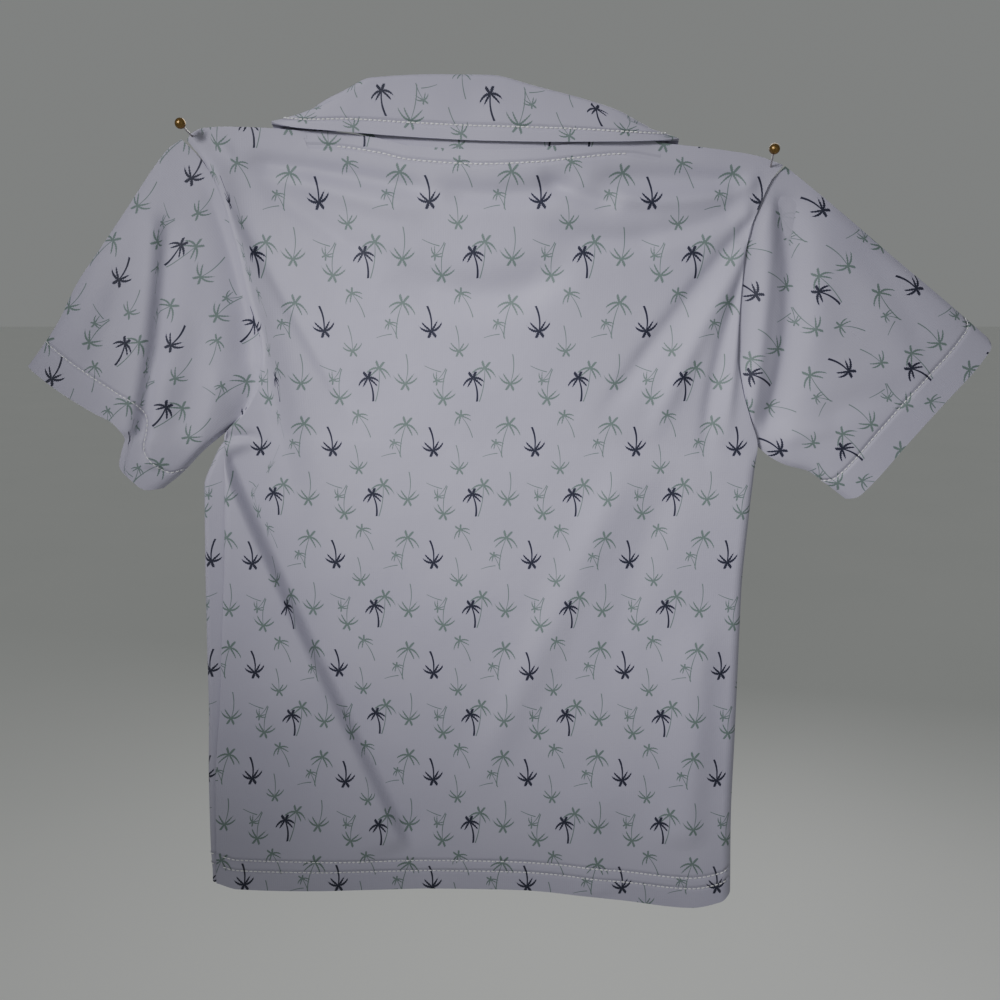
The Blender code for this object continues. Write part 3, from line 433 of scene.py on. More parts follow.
def material(name):
    """A new material: it, its nodes, its shader and the object's own coordinates."""
    surface = bpy.data.materials.new(name)
    surface.use_nodes = True
    tree = surface.node_tree
    where = add(tree, "ShaderNodeTexCoord").outputs["Object"]
    return surface, tree, tree.nodes["Principled BSDF"], where


def palm_nodes():
    """Ink of one palm: fronds where a point, straightened by its droop, lies near a frond's line
    in folded polar coordinates, and a trunk along a parabola from the crown to its foot."""
    tree = bpy.data.node_groups.new("palm", "ShaderNodeTree")
    for name, kind in (("Place", "Vector"), ("Crown", "Vector"), ("Trunk", "Vector"),
                       ("Frond", "Float"), ("Bow", "Float"), ("Stroke", "Float"), ("Stem", "Float")):
        tree.interface.new_socket(name, in_out="INPUT", socket_type="NodeSocket" + kind)
    tree.interface.new_socket("Ink", in_out="OUTPUT", socket_type="NodeSocketFloat")
    given = add(tree, "NodeGroupInput").outputs
    vector_node = "ShaderNodeVectorMath"
    away = add(tree, vector_node, (given["Place"], given["Crown"]), operation="SUBTRACT")
    half = (REPEAT[0] / 2.0, REPEAT[1] / 2.0, 1.0)
    near = add(tree, vector_node, (away, half, tuple(-h for h in half)), operation="WRAP")
    axis = add(tree, vector_node, (given["Trunk"],), operation="NORMALIZE")
    square = add(tree, vector_node, (axis, (0.0, 0.0, 1.0)), operation="CROSS_PRODUCT")
    length = add(tree, vector_node, (given["Trunk"],), operation="LENGTH").outputs["Value"]
    down = add(tree, vector_node, (near, axis), operation="DOT_PRODUCT").outputs["Value"]
    across = add(tree, vector_node, (near, square), operation="DOT_PRODUCT").outputs["Value"]
    # Fronds.
    reach = add(tree, "MAXIMUM", (given["Frond"], 0.01))
    squared = add(tree, "MULTIPLY", (across, across))
    drop = add(tree, "DIVIDE", (squared, reach))
    risen = add(tree, "MULTIPLY", (drop, FROND_DROOP))
    up = add(tree, "SUBTRACT", (risen, down))
    angle = add(tree, "ARCTAN2", (across, up))
    place = add(tree, "ShaderNodeCombineXYZ", (across, up))
    radius = add(tree, vector_node, (place,), operation="LENGTH").outputs["Value"]
    folded = add(tree, "WRAP", (angle, FROND_TURN, 0.0))
    centred = add(tree, "SUBTRACT", (folded, FROND_TURN / 2.0))
    swing = add(tree, "SINE", (centred,))
    beside = add(tree, "MULTIPLY", (radius, swing))
    off = add(tree, "ABSOLUTE", (beside,))
    turned = add(tree, "ABSOLUTE", (angle,))
    off_side = add(tree, "ABSOLUTE", (add(tree, "SUBTRACT", (turned, 1.5 * FROND_TURN)),))
    at_side = add(tree, "LESS_THAN", (off_side, 0.5 * FROND_TURN))
    short = add(tree, "MULTIPLY_ADD", (at_side, 0.22, 0.82))
    uneven = add(tree, "MULTIPLY", (across, 1.7))
    sway = add(tree, "SINE", (uneven,))
    longer = add(tree, "MULTIPLY_ADD", (sway, 0.09, short))
    own_reach = add(tree, "MULTIPLY", (reach, longer))
    share = add(tree, "DIVIDE", (radius, own_reach))
    left = add(tree, "SUBTRACT", (1.0, share), use_clamp=True)
    belly = add(tree, "MULTIPLY", (share, left))
    leaf = add(tree, "MULTIPLY_ADD", (belly, 1.5, 0.66))
    teeth = add(tree, "SINE", (add(tree, "MULTIPLY", (radius, 7.0)),))
    toothed = add(tree, "MULTIPLY_ADD", (teeth, 0.20, leaf))
    half_leaf = add(tree, "MULTIPLY", (toothed, given["Stroke"]))
    inside = add(tree, "SUBTRACT", (half_leaf, off))
    blade = add(tree, "MULTIPLY_ADD", (inside, 1.0 / INK_EDGE, 0.5), use_clamp=True)
    tip = add(tree, "MULTIPLY", (left, 14.0), use_clamp=True)
    crown = add(tree, "LESS_THAN", (turned, 3.0 * FROND_TURN))
    fronds = add(tree, "MULTIPLY", (add(tree, "MULTIPLY", (blade, tip)), crown))
    # Trunk.
    run = add(tree, "DIVIDE", (down, length))
    rest = add(tree, "SUBTRACT", (1.0, run))
    both = add(tree, "MULTIPLY", (run, rest))
    arch = add(tree, "MULTIPLY", (both, 4.0))
    middle = add(tree, "MULTIPLY", (arch, given["Bow"]))
    from_middle = add(tree, "SUBTRACT", (across, middle))
    wide = add(tree, "MULTIPLY_ADD", (run, 0.45, 0.65))
    half_trunk = add(tree, "MULTIPLY", (wide, given["Stem"]))
    in_trunk = add(tree, "SUBTRACT", (half_trunk, add(tree, "ABSOLUTE", (from_middle,))))
    stem = add(tree, "MULTIPLY_ADD", (in_trunk, 1.0 / INK_EDGE, 0.5), use_clamp=True)
    ends = add(tree, "MULTIPLY", (both, 60.0), use_clamp=True)
    trunk = add(tree, "MULTIPLY", (stem, ends))
    ink = add(tree, "MAXIMUM", (fronds, trunk))
    add(tree, "NodeGroupOutput", (ink,))
    return tree


def print_nodes():
    """The whole repeat: the darkest ink of the palms in each colour at a place on the cloth."""
    tree = bpy.data.node_groups.new("palm print", "ShaderNodeTree")
    tree.interface.new_socket("Navy", in_out="OUTPUT", socket_type="NodeSocketFloat")
    tree.interface.new_socket("Sage", in_out="OUTPUT", socket_type="NodeSocketFloat")
    cut = add(tree, "ShaderNodeUVMap", uv_map="print")
    place = add(tree, "ShaderNodeVectorMath", (cut, (1000.0, 1000.0, 0.0)), operation="MULTIPLY")
    palm = palm_nodes()
    inks = {"navy": 0.0, "sage": 0.0}
    for ink, across, down, trunk_x, trunk_y, frond, bow, stroke, stem in PALMS:
        crown = (across * REPEAT[0], -down * REPEAT[1], 0.0)
        drawn = add(tree, "ShaderNodeGroup", node_tree=palm)
        for key, value in (("Crown", crown), ("Trunk", (trunk_x, -trunk_y, 0.0)), ("Frond", frond),
                           ("Bow", bow), ("Stroke", stroke), ("Stem", stem)):
            drawn.inputs[key].default_value = value
        tree.links.new(place.outputs[0], drawn.inputs["Place"])
        inks[ink] = add(tree, "MAXIMUM", (inks[ink], drawn))
    add(tree, "NodeGroupOutput", (inks["navy"], inks["sage"]))
    return tree


PALM_PRINT = print_nodes()


def printed_interlock(name, rows, strength=1.0):
    """Polyester interlock, pale and printed: smooth and slightly lustrous, with fine
    ribs down the grain. rows names a mark and its sewn rows, where the cloth is drawn in."""
    surface, tree, shader, where = material(name)
    print_group = add(tree, "ShaderNodeGroup", node_tree=PALM_PRINT)
    cut = add(tree, "ShaderNodeUVMap", uv_map="print")
    # Pale lilac-grey ground, as a white shirt looks in dim light, duller in broad patches.
    patches = add(tree, "ShaderNodeTexNoise", {"Vector": where, "Scale": 21.0, "Detail": 3.0})
    ground = add(tree, "ShaderNodeMix", {0: patches, 6: linear("#ABA8BA"), 7: linear("#B7B4C4")},
                 data_type="RGBA")
    mottle = add(tree, "ShaderNodeTexNoise", {"Vector": where, "Scale": 260.0, "Detail": 2.0})
    sage_tone = add(tree, "ShaderNodeMix", {0: mottle, 6: linear("#5D7269"), 7: linear("#6A7B76")},
                    data_type="RGBA")
    sage_ink = add(tree, "MULTIPLY", (print_group.outputs["Sage"], 0.93 * strength))
    navy_ink = add(tree, "MULTIPLY", (print_group.outputs["Navy"], 0.97 * strength))
    sage = add(tree, "ShaderNodeMix", {0: sage_ink, 6: ground.outputs[2], 7: sage_tone.outputs[2]},
               data_type="RGBA")
    navy = add(tree, "ShaderNodeMix", {0: navy_ink, 6: sage.outputs[2], 7: linear("#0B112B")},
               data_type="RGBA")
    tree.links.new(navy.outputs[2], shader.inputs["Base Color"])
    # Knit: ribs down the grain crossed by courses, then the small unevenness of worn cloth.
    ribs = add(tree, "ShaderNodeTexWave", {"Vector": cut, "Scale": RIB_SCALE,
                                           "Distortion": 0.35, "Detail": 1.0, "Detail Scale": 2.0},
               bands_direction="X")
    courses = add(tree, "ShaderNodeTexWave", {"Vector": cut, "Scale": COURSE_SCALE,
                                              "Distortion": 0.35}, bands_direction="Y")
    knit = add(tree, "MULTIPLY", (ribs.outputs[1], courses.outputs[1]))
    crumple = add(tree, "ShaderNodeTexNoise", {"Vector": where, "Scale": 62.0, "Detail": 4.0,
                                               "Roughness": 0.55})
    height = add(tree, "MULTIPLY", (knit, KNIT_DEPTH))
    height = add(tree, "MULTIPLY_ADD", (crumple, CRUMPLE_DEPTH, height))
    for mark, places in rows.items():
        distance = add(tree, "ShaderNodeAttribute", attribute_name=mark)
        for row in places:
            off = add(tree, "SUBTRACT", (distance.outputs["Fac"], row))
            wide = add(tree, "MULTIPLY", (off, off))
            groove = add(tree, "EXPONENT", (add(tree, "MULTIPLY", (wide, ROW_FALL)),))
            height = add(tree, "MULTIPLY_ADD", (groove, ROW_DEPTH, height))
    bump = add(tree, "ShaderNodeBump", {"Height": height, "Distance": 0.001, "Strength": 0.8})
    tree.links.new(bump.outputs[0], shader.inputs["Normal"])
    rough = add(tree, "MULTIPLY_ADD", (mottle, 0.12, 0.56))
    tree.links.new(rough.outputs[0], shader.inputs["Roughness"])
    shader.inputs["Sheen Weight"].default_value = 0.04
    shader.inputs["Sheen Roughness"].default_value = 0.45
    shader.inputs["IOR"].default_value = 1.48
    return surface


# --- Sewing thread -------------------------------------------------------------------------------

def spun_thread():
    """Spun polyester sewing thread, white: soft sheen and a fine twist."""
    surface, tree, shader, where = material("spun polyester thread, white")
    twist = add(tree, "ShaderNodeTexWave", {"Vector": where, "Scale": 1400.0, "Distortion": 1.5},
                bands_direction="DIAGONAL")
    tone = add(tree, "ShaderNodeMix", {0: twist.outputs[1], 6: linear("#F6F6F8"), 7: linear("#FFFFFF")},
               data_type="RGBA")
    tree.links.new(tone.outputs[2], shader.inputs["Base Color"])
    bump = add(tree, "ShaderNodeBump", {"Height": twist.outputs[1], "Distance": 0.0001})
    tree.links.new(bump.outputs[0], shader.inputs["Normal"])
    shader.inputs["Roughness"].default_value = 0.5
    shader.inputs["Sheen Weight"].default_value = 0.3
    return surface


THREAD = spun_thread()
STITCH_SIDES = 6


def sewn(name, runs, pitch=2.4, length=1.85, radius=0.36, raised=0.14):
    """Rows of stitches. Each is a spindle of radius r * (1 - (2t - 1)^4)^0.5 along its row, with its
    middle raised off the cloth. A run is a row of points and the outward normals there, in mm."""
    t = np.array([0.06, 0.28, 0.5, 0.72, 0.94])
    turn = np.arange(STITCH_SIDES) * 2.0 * math.pi / STITCH_SIDES
    swell = np.sqrt(1.0 - (2.0 * t - 1.0) ** 4)
    ring = np.stack([np.repeat((t - 0.5) * length, STITCH_SIDES),
                     radius * np.outer(swell, np.cos(turn)).ravel(),
                     radius * np.outer(swell, np.sin(turn)).ravel()], axis=1)
    shape = np.concatenate([[[-0.5 * length, 0, 0]], ring, [[0.5 * length, 0, 0]]])
    faces = []
    for k in range(STITCH_SIDES):
        j = (k + 1) % STITCH_SIDES
        faces.append((0, 1 + j, 1 + k, 1 + k))
        for low in range(1, 1 + 4 * STITCH_SIDES, STITCH_SIDES):
            faces.append((low + k, low + j, low + STITCH_SIDES + j, low + STITCH_SIDES + k))
        last = 1 + 4 * STITCH_SIDES
        faces.append((last + k, last + j, len(shape) - 1, len(shape) - 1))
    faces = np.array(faces)
    points, quads, start = [], [], 0
    for row, normal in runs:
        run = np.r_[0.0, np.cumsum(np.linalg.norm(np.diff(row, axis=0), axis=1))]
        at = np.arange(0.5 * pitch, run[-1] - 0.3 * pitch, pitch)
        middle, ahead, behind, up = (
            np.stack([np.interp(at + shift, run, values[:, k]) for k in range(3)], axis=1)
            for shift, values in ((0.0, row), (0.3, row), (-0.3, row), (0.0, normal)))
        along = unit(ahead - behind)
        up = unit(up - (up * along).sum(axis=1, keepdims=True) * along)
        beside = np.cross(up, along)
        middle = middle + up * raised
        placed = (middle[:, None] + shape[None, :, :1] * along[:, None]
                  + shape[None, :, 1:2] * beside[:, None] + shape[None, :, 2:] * up[:, None])
        points.append(placed.reshape(-1, 3))
        firsts = start + np.arange(len(at)) * len(shape)
        quads.append((faces[None] + firsts[:, None, None]).reshape(-1, 4))
        start += len(at) * len(shape)
    points, quads = np.concatenate(points), np.concatenate(quads)
    if signed_volume(points, quads) < 0.0:
        quads = quads[:, ::-1]
    mesh = bpy.data.meshes.new(name)
    mesh.from_pydata(points * MM, [], [tuple(dict.fromkeys(face)) for face in quads.tolist()])
    mesh.materials.append(THREAD)
    mesh.shade_smooth()
    thing = linked(name, mesh)
    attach(thing, "root")
    return thing


def row_on(surface, s, v, towards):
    """Points of a surface along a row, and its normals there, from steps of 0.002 either way."""
    e = 0.002
    points = surface(s, v)
    across = surface(np.minimum(s + e, 1.0), v) - surface(np.maximum(s - e, 0.0), v)
    down = surface(s, np.minimum(v + e, 1.0)) - surface(s, np.maximum(v - e, 0.0))
    n = unit(np.cross(down, across))
    return points, n * np.sign((n * np.asarray(towards, float)).sum(axis=-1).mean())


NECK_REACH = 84.0           # the neck's topstitch is drawn in this far either side of the centre, mm
UNSEWN = 99.0               # mark for cloth far from any row, mm
HEM_ROWS = (11.0, 17.0)     # twin rows above the hem's edge, mm
NECK_ROW = 6.6              # topstitch below the neckline, mm
BODY_LENGTH = 386.0         # from the neck point to the hem, mm

wrong_side = printed_interlock("printed interlock, wrong side", {}, 0.16)
back_cloth = printed_interlock("printed interlock, back", {"hem": HEM_ROWS, "neck": (NECK_ROW,)})
t = np.linspace(0.0, 1.0, BACK_GRID[0])
s, v = grid(t - 0.6 * np.sin(2.0 * math.pi * t) / (2.0 * math.pi), np.linspace(0.0, 1.0, BACK_GRID[1]))
face = back_face(s, v)
back_marks = {"hem": (1.0 - v) * BODY_LENGTH,
              "neck": np.where(np.abs(face[..., 0]) < NECK_REACH, v * BODY_LENGTH, UNSEWN)}
back = cloth_shell("back_panel", face, face - LAYER * outward(face, (0, -1, 0)),
                   print_on_body(face[..., 0], face[..., 2]), back_marks, (back_cloth, wrong_side))
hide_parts("back")
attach(back, "root")

s_row = np.linspace(0.012, 0.988, 400)
back_rows_sewn = [row_on(back_face, s_row, np.full_like(s_row, 1.0 - d / BODY_LENGTH), (0, -1, 0))
                  for d in HEM_ROWS]
back_hem_thread = sewn("back_hem_stitches", back_rows_sewn)
s_row = np.linspace(0.245, 0.742, 300)
back_neck_thread = sewn("back_neck_topstitch",
                        [row_on(back_face, s_row, np.full_like(s_row, NECK_ROW / BODY_LENGTH), (0, -1, 0))])

# === Front panel ==================================================================================
# The same interlock, hanging flat next to the wall. Its neckline is scooped out 57 mm deep, and its
# left edge wraps round to the back, where the side seam joins it to the back panel.

# Neckline of the front, in mm.
FRONT_NECK = (
    # x, z
    (-72.0, 9.6), (-69.0, -4.0), (-62.0, -19.0), (-51.0, -34.0), (-36.0, -46.5), (-18.0, -54.5),
    (0.0, -57.0), (18.0, -55.0), (36.0, -47.5), (51.0, -35.5), (61.0, -21.0), (68.0, -6.5),
    (70.0, 6.4),
)
FRONT_FLAT = -5.6           # y of the front's right side, next to the wall
SIDE_RADIUS = 2.95          # of the left side, where the front panel turns over
STRIP_FLAT = 7.0            # flat part of the front's left strip, next to the wall
WRAP_SHARE = 0.085          # of the front panel's columns are in that strip
SEAM_DROP = 2.7             # the front's shoulder lies this far under the back's
FRONT_CREASES = (
    (-122.0, -30.0, -70.0, -150.0, 6.0, 7.0, 9.0, 1.4, 0.25, 0.40),
    (-112.0, -26.0, -58.0, -128.0, 6.0, 6.0, 6.0, -1.0, 0.25, 0.40),
    (120.0, -38.0, 72.0, -160.0, -6.0, 9.0, 7.0, 1.4, 0.25, 0.40),
    (108.0, -34.0, 60.0, -130.0, -6.0, 6.0, 6.0, -1.0, 0.25, 0.40),
    (-96.0, -200.0, -60.0, -350.0, 4.0, 14.0, 9.0, 1.3, 0.30, 0.30),
    (-82.0, -206.0, -46.0, -352.0, 4.0, 8.0, 12.0, -1.1, 0.30, 0.30),
    (70.0, -190.0, 88.0, -352.0, 4.0, 10.0, 16.0, 1.2, 0.30, 0.30),
    (20.0, -230.0, 34.0, -372.0, 2.0, 14.0, 14.0, -0.9, 0.35, 0.20),
)
SEAM_TO_PRINT = 2.5         # how far the front's print is shifted back from the seam, mm
FRONT_GRID = (34, 150)      # columns in the wrapped strip, and in the rest


def front_top():
    """Shoulder seams as on the back, one layer nearer the wall, with the scooped neckline."""
    first, last = FRONT_NECK[0], FRONT_NECK[-1]
    neck_y = -12.0 + SEAM_DROP
    edge = [(x, y + SEAM_DROP, z) for x, y, z in BACK_TOP if x < first[0]]
    for x, z in FRONT_NECK:
        edge.append((x, neck_y + (FRONT_FLAT - neck_y) * ease((first[1] - z) / 40.0), z))
    edge += [(x, y + SEAM_DROP, z) for x, y, z in BACK_TOP if x > last[0]]
    return curve(edge, axis=0)


def side_strip(share, v):
    """Cross-section of the front's left edge: out from the seam, round the side, in on the wall.

    A straight run, an arc of SIDE_RADIUS and a flat, taken by distance. Gives x past the seam, y,
    and how much of it lies flat along the wall.
    """
    radius, y_seam = SIDE_RADIUS, value_down(LEFT_EDGE, 3, v)
    start = np.arccos(np.clip((FRONT_FLAT - y_seam) / radius - 1.0, -1.0, 1.0))
    run = np.maximum(value_down(LEFT_EDGE, 4, v) - radius * (1.0 - np.sin(start)), 0.0)
    arc = radius * (math.pi - start)
    distance = share * (run + arc + STRIP_FLAT)
    angle = start + np.clip((distance - run) / radius, 0.0, math.pi - start)
    flat = np.maximum(distance - run - arc, 0.0)
    x = -np.minimum(distance, run) + radius * (np.sin(start) - np.sin(angle)) + flat
    return x, FRONT_FLAT - radius * (1.0 + np.cos(angle)), flat


def front_face(s, v):
    """Right side of the front, which looks at the wall: the side strip, then a patch between the
    edges whose sides fade out with the power 6, then its creases."""
    left, right, hem = side(LEFT_EDGE, (0, 3, 2)), side(RIGHT_EDGE, (0, 3, 2)), curve(HEM, axis=0)
    x, y, flat = side_strip(np.clip(s / WRAP_SHARE, 0.0, 1.0), v)
    inner_share = np.maximum(s - WRAP_SHARE, 0.0) / (1.0 - WRAP_SHARE)
    across = flat / BODY_WIDTH + inner_share * (1.0 - STRIP_FLAT / BODY_WIDTH)
    points = blend(left, right, front_top(), hem, across, v, reach=6)
    begin = blend(left, right, front_top(), hem, flat / BODY_WIDTH, v, reach=6)
    x = left(v)[..., 0] + x + (points - begin)[..., 0]
    points[..., 0] = np.where(s < WRAP_SHARE, x, points[..., 0]
                              + (x - points[..., 0]) * (1.0 - inner_share) ** 6)
    to_right = np.clip(1.0 - (1.0 - s) * BODY_WIDTH / ROLL_RADIUS, 0.0, 1.0)
    y = y + (front_top()(across)[..., 1] - FRONT_FLAT) * (1.0 - ease(v / 0.12))
    y = y + (value_down(RIGHT_EDGE, 3, v) - FRONT_FLAT) * (1.0 - np.sqrt(1.0 - to_right ** 2))
    clear = ease((s - WRAP_SHARE) * 12.0) * ease((1.0 - s) * 12.0) * ease(v / 0.05)
    points[..., 0] -= SEAM * ease(1.0 - s * 40.0) * ease((v - UNDERARM) / 0.03)
    x, z = points[..., 0], points[..., 2]
    points[..., 1] = y + clear * (crease_height(FRONT_CREASES, x, z) + slack(x, z, 0.35))
    return points


def front_inner(s, v):
    """Wrong side of the front: its right side moved one layer in, square to each row."""
    step = 0.002
    run = front_face(np.minimum(s + step, 1.0), v) - front_face(np.maximum(s - step, 0.0), v)
    size = np.hypot(run[..., 0], run[..., 1])
    points = front_face(s, v)
    points[..., 0] += LAYER * run[..., 1] / size
    points[..., 1] -= LAYER * run[..., 0] / size
    return points


def front_share(x):
    """s of the front's column that starts at x on the shoulder seam or neckline."""
    inner = (x - LEFT_X - STRIP_FLAT) / (BODY_WIDTH - STRIP_FLAT)
    return WRAP_SHARE + inner * (1.0 - WRAP_SHARE)


front_cloth = printed_interlock("printed interlock, front", {"hem": HEM_ROWS})
columns = np.r_[np.linspace(0.0, WRAP_SHARE, FRONT_GRID[0]),
                np.linspace(WRAP_SHARE, 1.0, FRONT_GRID[1])[1:]]
rows = np.r_[np.linspace(0.0, UNDERARM, 66), np.linspace(UNDERARM, UNDERARM + 0.05, 26)[1:],
             np.linspace(UNDERARM + 0.05, 1.0, 100)[1:]]
s, v = grid(columns, rows)
face = front_face(s, v)
# The print runs on round the side by the running length from the side seam, then straight across.
steps = np.linalg.norm(np.diff(face[:FRONT_GRID[0]], axis=0), axis=-1)
around = np.concatenate([np.zeros((1, len(rows))), np.cumsum(steps, axis=0)])
turned = len(around) - 1
from_seam = (around[-1] - face[turned, :, 0])[rows > UNDERARM].mean() - SEAM_TO_PRINT
printed = print_on_body(face[..., 0], face[..., 2])
printed[..., 0] = face[..., 0] + from_seam
printed[:turned, :, 0] = face[turned, :, 0] + from_seam + around[:-1] - around[-1]
front = cloth_shell("front_panel", face, front_inner(s, v), printed, {"hem": (1.0 - v) * BODY_LENGTH},
                    (front_cloth, wrong_side))
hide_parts("front")
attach(front, "root")
s_row = np.r_[np.linspace(0.004, WRAP_SHARE, 120), np.linspace(WRAP_SHARE, 0.99, 400)[1:]]
front_hem_thread = sewn("front_hem_stitches", [
    row_on(front_face, s_row, np.full_like(s_row, 1.0 - d / BODY_LENGTH), (0, 1, 0)) for d in HEM_ROWS])

# === Placket ======================================================================================
# Two bands of the same cloth, folded double: one lies over the front's opening with three
# buttonholes, and one lies under it. Only the upper one shows its stitches.

OVER_WIDTH = 26.0
UNDER_WIDTH = 22.0
BAND_THICK = 1.1
BUTTON_DROPS = (12.0, 44.0, 76.0)     # below the neckline, down the middle of the placket
PLACKET_ROW = 2.2                     # stitches in from the over band's long edges
OVER_LIFT = 0.35                      # the over band's inner side off the front's right side
UNDER_LIFT = -2.4
LEAST_EDGE = 0.02                     # thickness left at a band's rounded edge
TO_WALL = np.array([0.0, 1.0, 0.0])


def band(name, width, lift, cloth):
    """A band made from the front's own points, lifted off it, and rounded down at its long edges."""
    x, v = grid(np.linspace(-0.5, 0.5, 25) * width, np.linspace(0.0, UNDERARM, 90))
    seat = front_face(front_share(x), v)
    rounded = BAND_THICK * (1.0 - (np.abs(2.0 * x / width)) ** 10) ** 0.5
    low = seat + np.array([0.0, lift, 0.0])
    if lift > 0.0:
        high = low + rounded[..., None] * TO_WALL
    else:
        low = low + (BAND_THICK - rounded)[..., None] * TO_WALL
        high = seat + np.array([0.0, lift + BAND_THICK + LEAST_EDGE, 0.0])
    high[..., 1] = np.maximum(high[..., 1], low[..., 1] + LEAST_EDGE)
    printed = np.stack([x, seat[..., 2]], axis=-1)
    piece = cloth_shell(name, high, low, printed, {}, (cloth, cloth))
    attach(piece, "root")
    return piece


placket_cloth = printed_interlock("printed interlock, placket", {})
over = band("placket_over_band", OVER_WIDTH, OVER_LIFT, placket_cloth)
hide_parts("placket_over")
under = band("placket_under_band", UNDER_WIDTH, UNDER_LIFT, placket_cloth)
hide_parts("placket_under")

# Edge stitching down both long edges, and two rows across the foot.
v_run = np.linspace(0.006, UNDERARM - 0.004, 200)
lift_over = np.array([0.0, OVER_LIFT + BAND_THICK - 0.04, 0.0])
to_wall = np.tile([0.0, 1.0, 0.0], (200, 1))
placket_rows = []
to_row = 0.5 * OVER_WIDTH - PLACKET_ROW
for x_side in (-to_row, to_row):
    placket_rows.append((front_face(front_share(np.full(200, x_side)), v_run) + lift_over, to_wall))
for share in (UNDERARM - 0.006, UNDERARM - 0.048):
    x_run = np.linspace(-to_row, to_row, 200)
    placket_rows.append((front_face(front_share(x_run), np.full(200, share)) + lift_over, to_wall))
placket_thread = sewn("placket_stitches", placket_rows)


def down_front(distance):
    """v of the point at a distance below the neckline, down the front's middle."""
    share = np.linspace(0.0, 1.0, 400)
    z = front_face(np.full_like(share, front_share(0.0)), share)[:, 2]
    return np.interp(distance, z[0] - z, share)


# Buttonholes: two dense rows of satin stitches, 13 mm long. The slot between them isn't cut.
hole_rows = []
for drop in BUTTON_DROPS:
    v_hole = down_front(drop + np.linspace(-6.5, 6.5, 60))
    for x_side in (-0.85, 0.85):
        hole_rows.append((front_face(front_share(np.full(60, x_side)), v_hole) + lift_over,
                          np.tile([0.0, 1.0, 0.0], (60, 1))))
buttonholes = sewn("buttonhole_stitches", hole_rows, pitch=0.42, length=0.55, radius=0.62, raised=-0.25)

# === Buttons ======================================================================================
# Three 11 mm shirt buttons, cast polyester with a pearly white finish: a raised rim, a shallow dish
# and four blind holes, with two bars of thread across them.

BUTTON_RADIUS = 5.5
BUTTON_THICKNESS = 2.0
HOLE_OFF = 1.15             # holes from the middle, along each diagonal's sides, mm
HOLE_RADIUS = 0.72
# Radius and height of the section, from the middle of the outer side round to the back.
BUTTON_SECTION = (
    (0.0, 1.30), (0.5, 1.30), (1.0, 1.30), (1.4, 1.30), (1.8, 1.30), (2.2, 1.30), (2.7, 1.31),
    (3.2, 1.34), (3.6, 1.45), (3.95, 1.72), (4.25, 1.93), (4.6, 2.0), (4.95, 1.96), (5.25, 1.82),
    (5.44, 1.55), (5.5, 1.2), (5.46, 0.8), (5.3, 0.4), (5.0, 0.12), (4.5, 0.0), (2.5, 0.0),
    (1.0, 0.0), (0.0, 0.0),
)


def button_points(sides=72):
    """The section carried round +Z, with four pits exp(-(distance from a hole / radius)^6)."""
    knots = distances(np.array(BUTTON_SECTION))
    fine = np.r_[np.linspace(0.0, knots[8], 42), np.linspace(knots[8], 1.0, 40)[1:]]
    r, h = smooth(knots, BUTTON_SECTION, fine).T
    r = np.maximum(r, 0.0)
    angle = np.linspace(0.0, 2.0 * math.pi, sides, endpoint=False)
    r_all, a_all = grid(r, angle)
    x, y = r_all * np.cos(a_all), r_all * np.sin(a_all)
    z = np.repeat(h[:, None], sides, axis=1)
    upper = np.arange(len(fine))[:, None] < 44
    for dx in (-HOLE_OFF, HOLE_OFF):
        for dy in (-HOLE_OFF, HOLE_OFF):
            off = np.hypot(x - dx, y - dy) / HOLE_RADIUS
            z = z - np.where(upper, 1.05 * np.exp(-off ** 6), 0.0)
    return np.stack([x, y, z], axis=-1)


def turned_mesh(name, points, materials):
    """Closed mesh of rings of points about an axis, first and last ring drawn to their middles."""
    rings, sides = points.shape[:2]
    body = points[1:-1].reshape(-1, 3)
    body = np.concatenate([points[:1].mean(axis=1), body, points[-1:].mean(axis=1)])
    i, k = grid(np.arange(rings - 3), np.arange(sides))
    a, b = 1 + i * sides + k, 1 + i * sides + (k + 1) % sides
    quads = np.stack([a, b, b + sides, a + sides], axis=-1).reshape(-1, 4)
    k = np.arange(sides)
    last = 1 + (rings - 3) * sides
    first_fan = np.stack([np.zeros_like(k), 1 + (k + 1) % sides, 1 + k, 1 + k], axis=1)
    last_fan = np.stack([np.full_like(k, len(body) - 1), last + k, last + (k + 1) % sides,
                         last + (k + 1) % sides], axis=1)
    quads = np.concatenate([quads, first_fan, last_fan])
    if signed_volume(body, quads) < 0.0:
        quads = quads[:, ::-1]
    mesh = bpy.data.meshes.new(name)
    mesh.from_pydata(body * MM, [], [tuple(dict.fromkeys(face)) for face in quads.tolist()])
    for surface in materials:
        mesh.materials.append(surface)
    mesh.shade_smooth()
    return linked(name, mesh)


def cast_polyester():
    """Cast polyester, pearly white: soft clouds of tone under a clear polished skin."""
    surface, tree, shader, where = material("cast polyester, pearl white")
    clouds = add(tree, "ShaderNodeTexNoise", {"Vector": where, "Scale": 320.0, "Detail": 3.0,
                                              "Distortion": 1.2})
    tone = add(tree, "ShaderNodeMix", {0: clouds, 6: linear("#C9CAD0"), 7: linear("#EEEDEE")},
               data_type="RGBA")
    tree.links.new(tone.outputs[2], shader.inputs["Base Color"])
    rough = add(tree, "MULTIPLY_ADD", (clouds, 0.12, 0.16))
    tree.links.new(rough.outputs[0], shader.inputs["Roughness"])
    shader.inputs["IOR"].default_value = 1.55
    shader.inputs["Coat Weight"].default_value = 0.4
    return surface


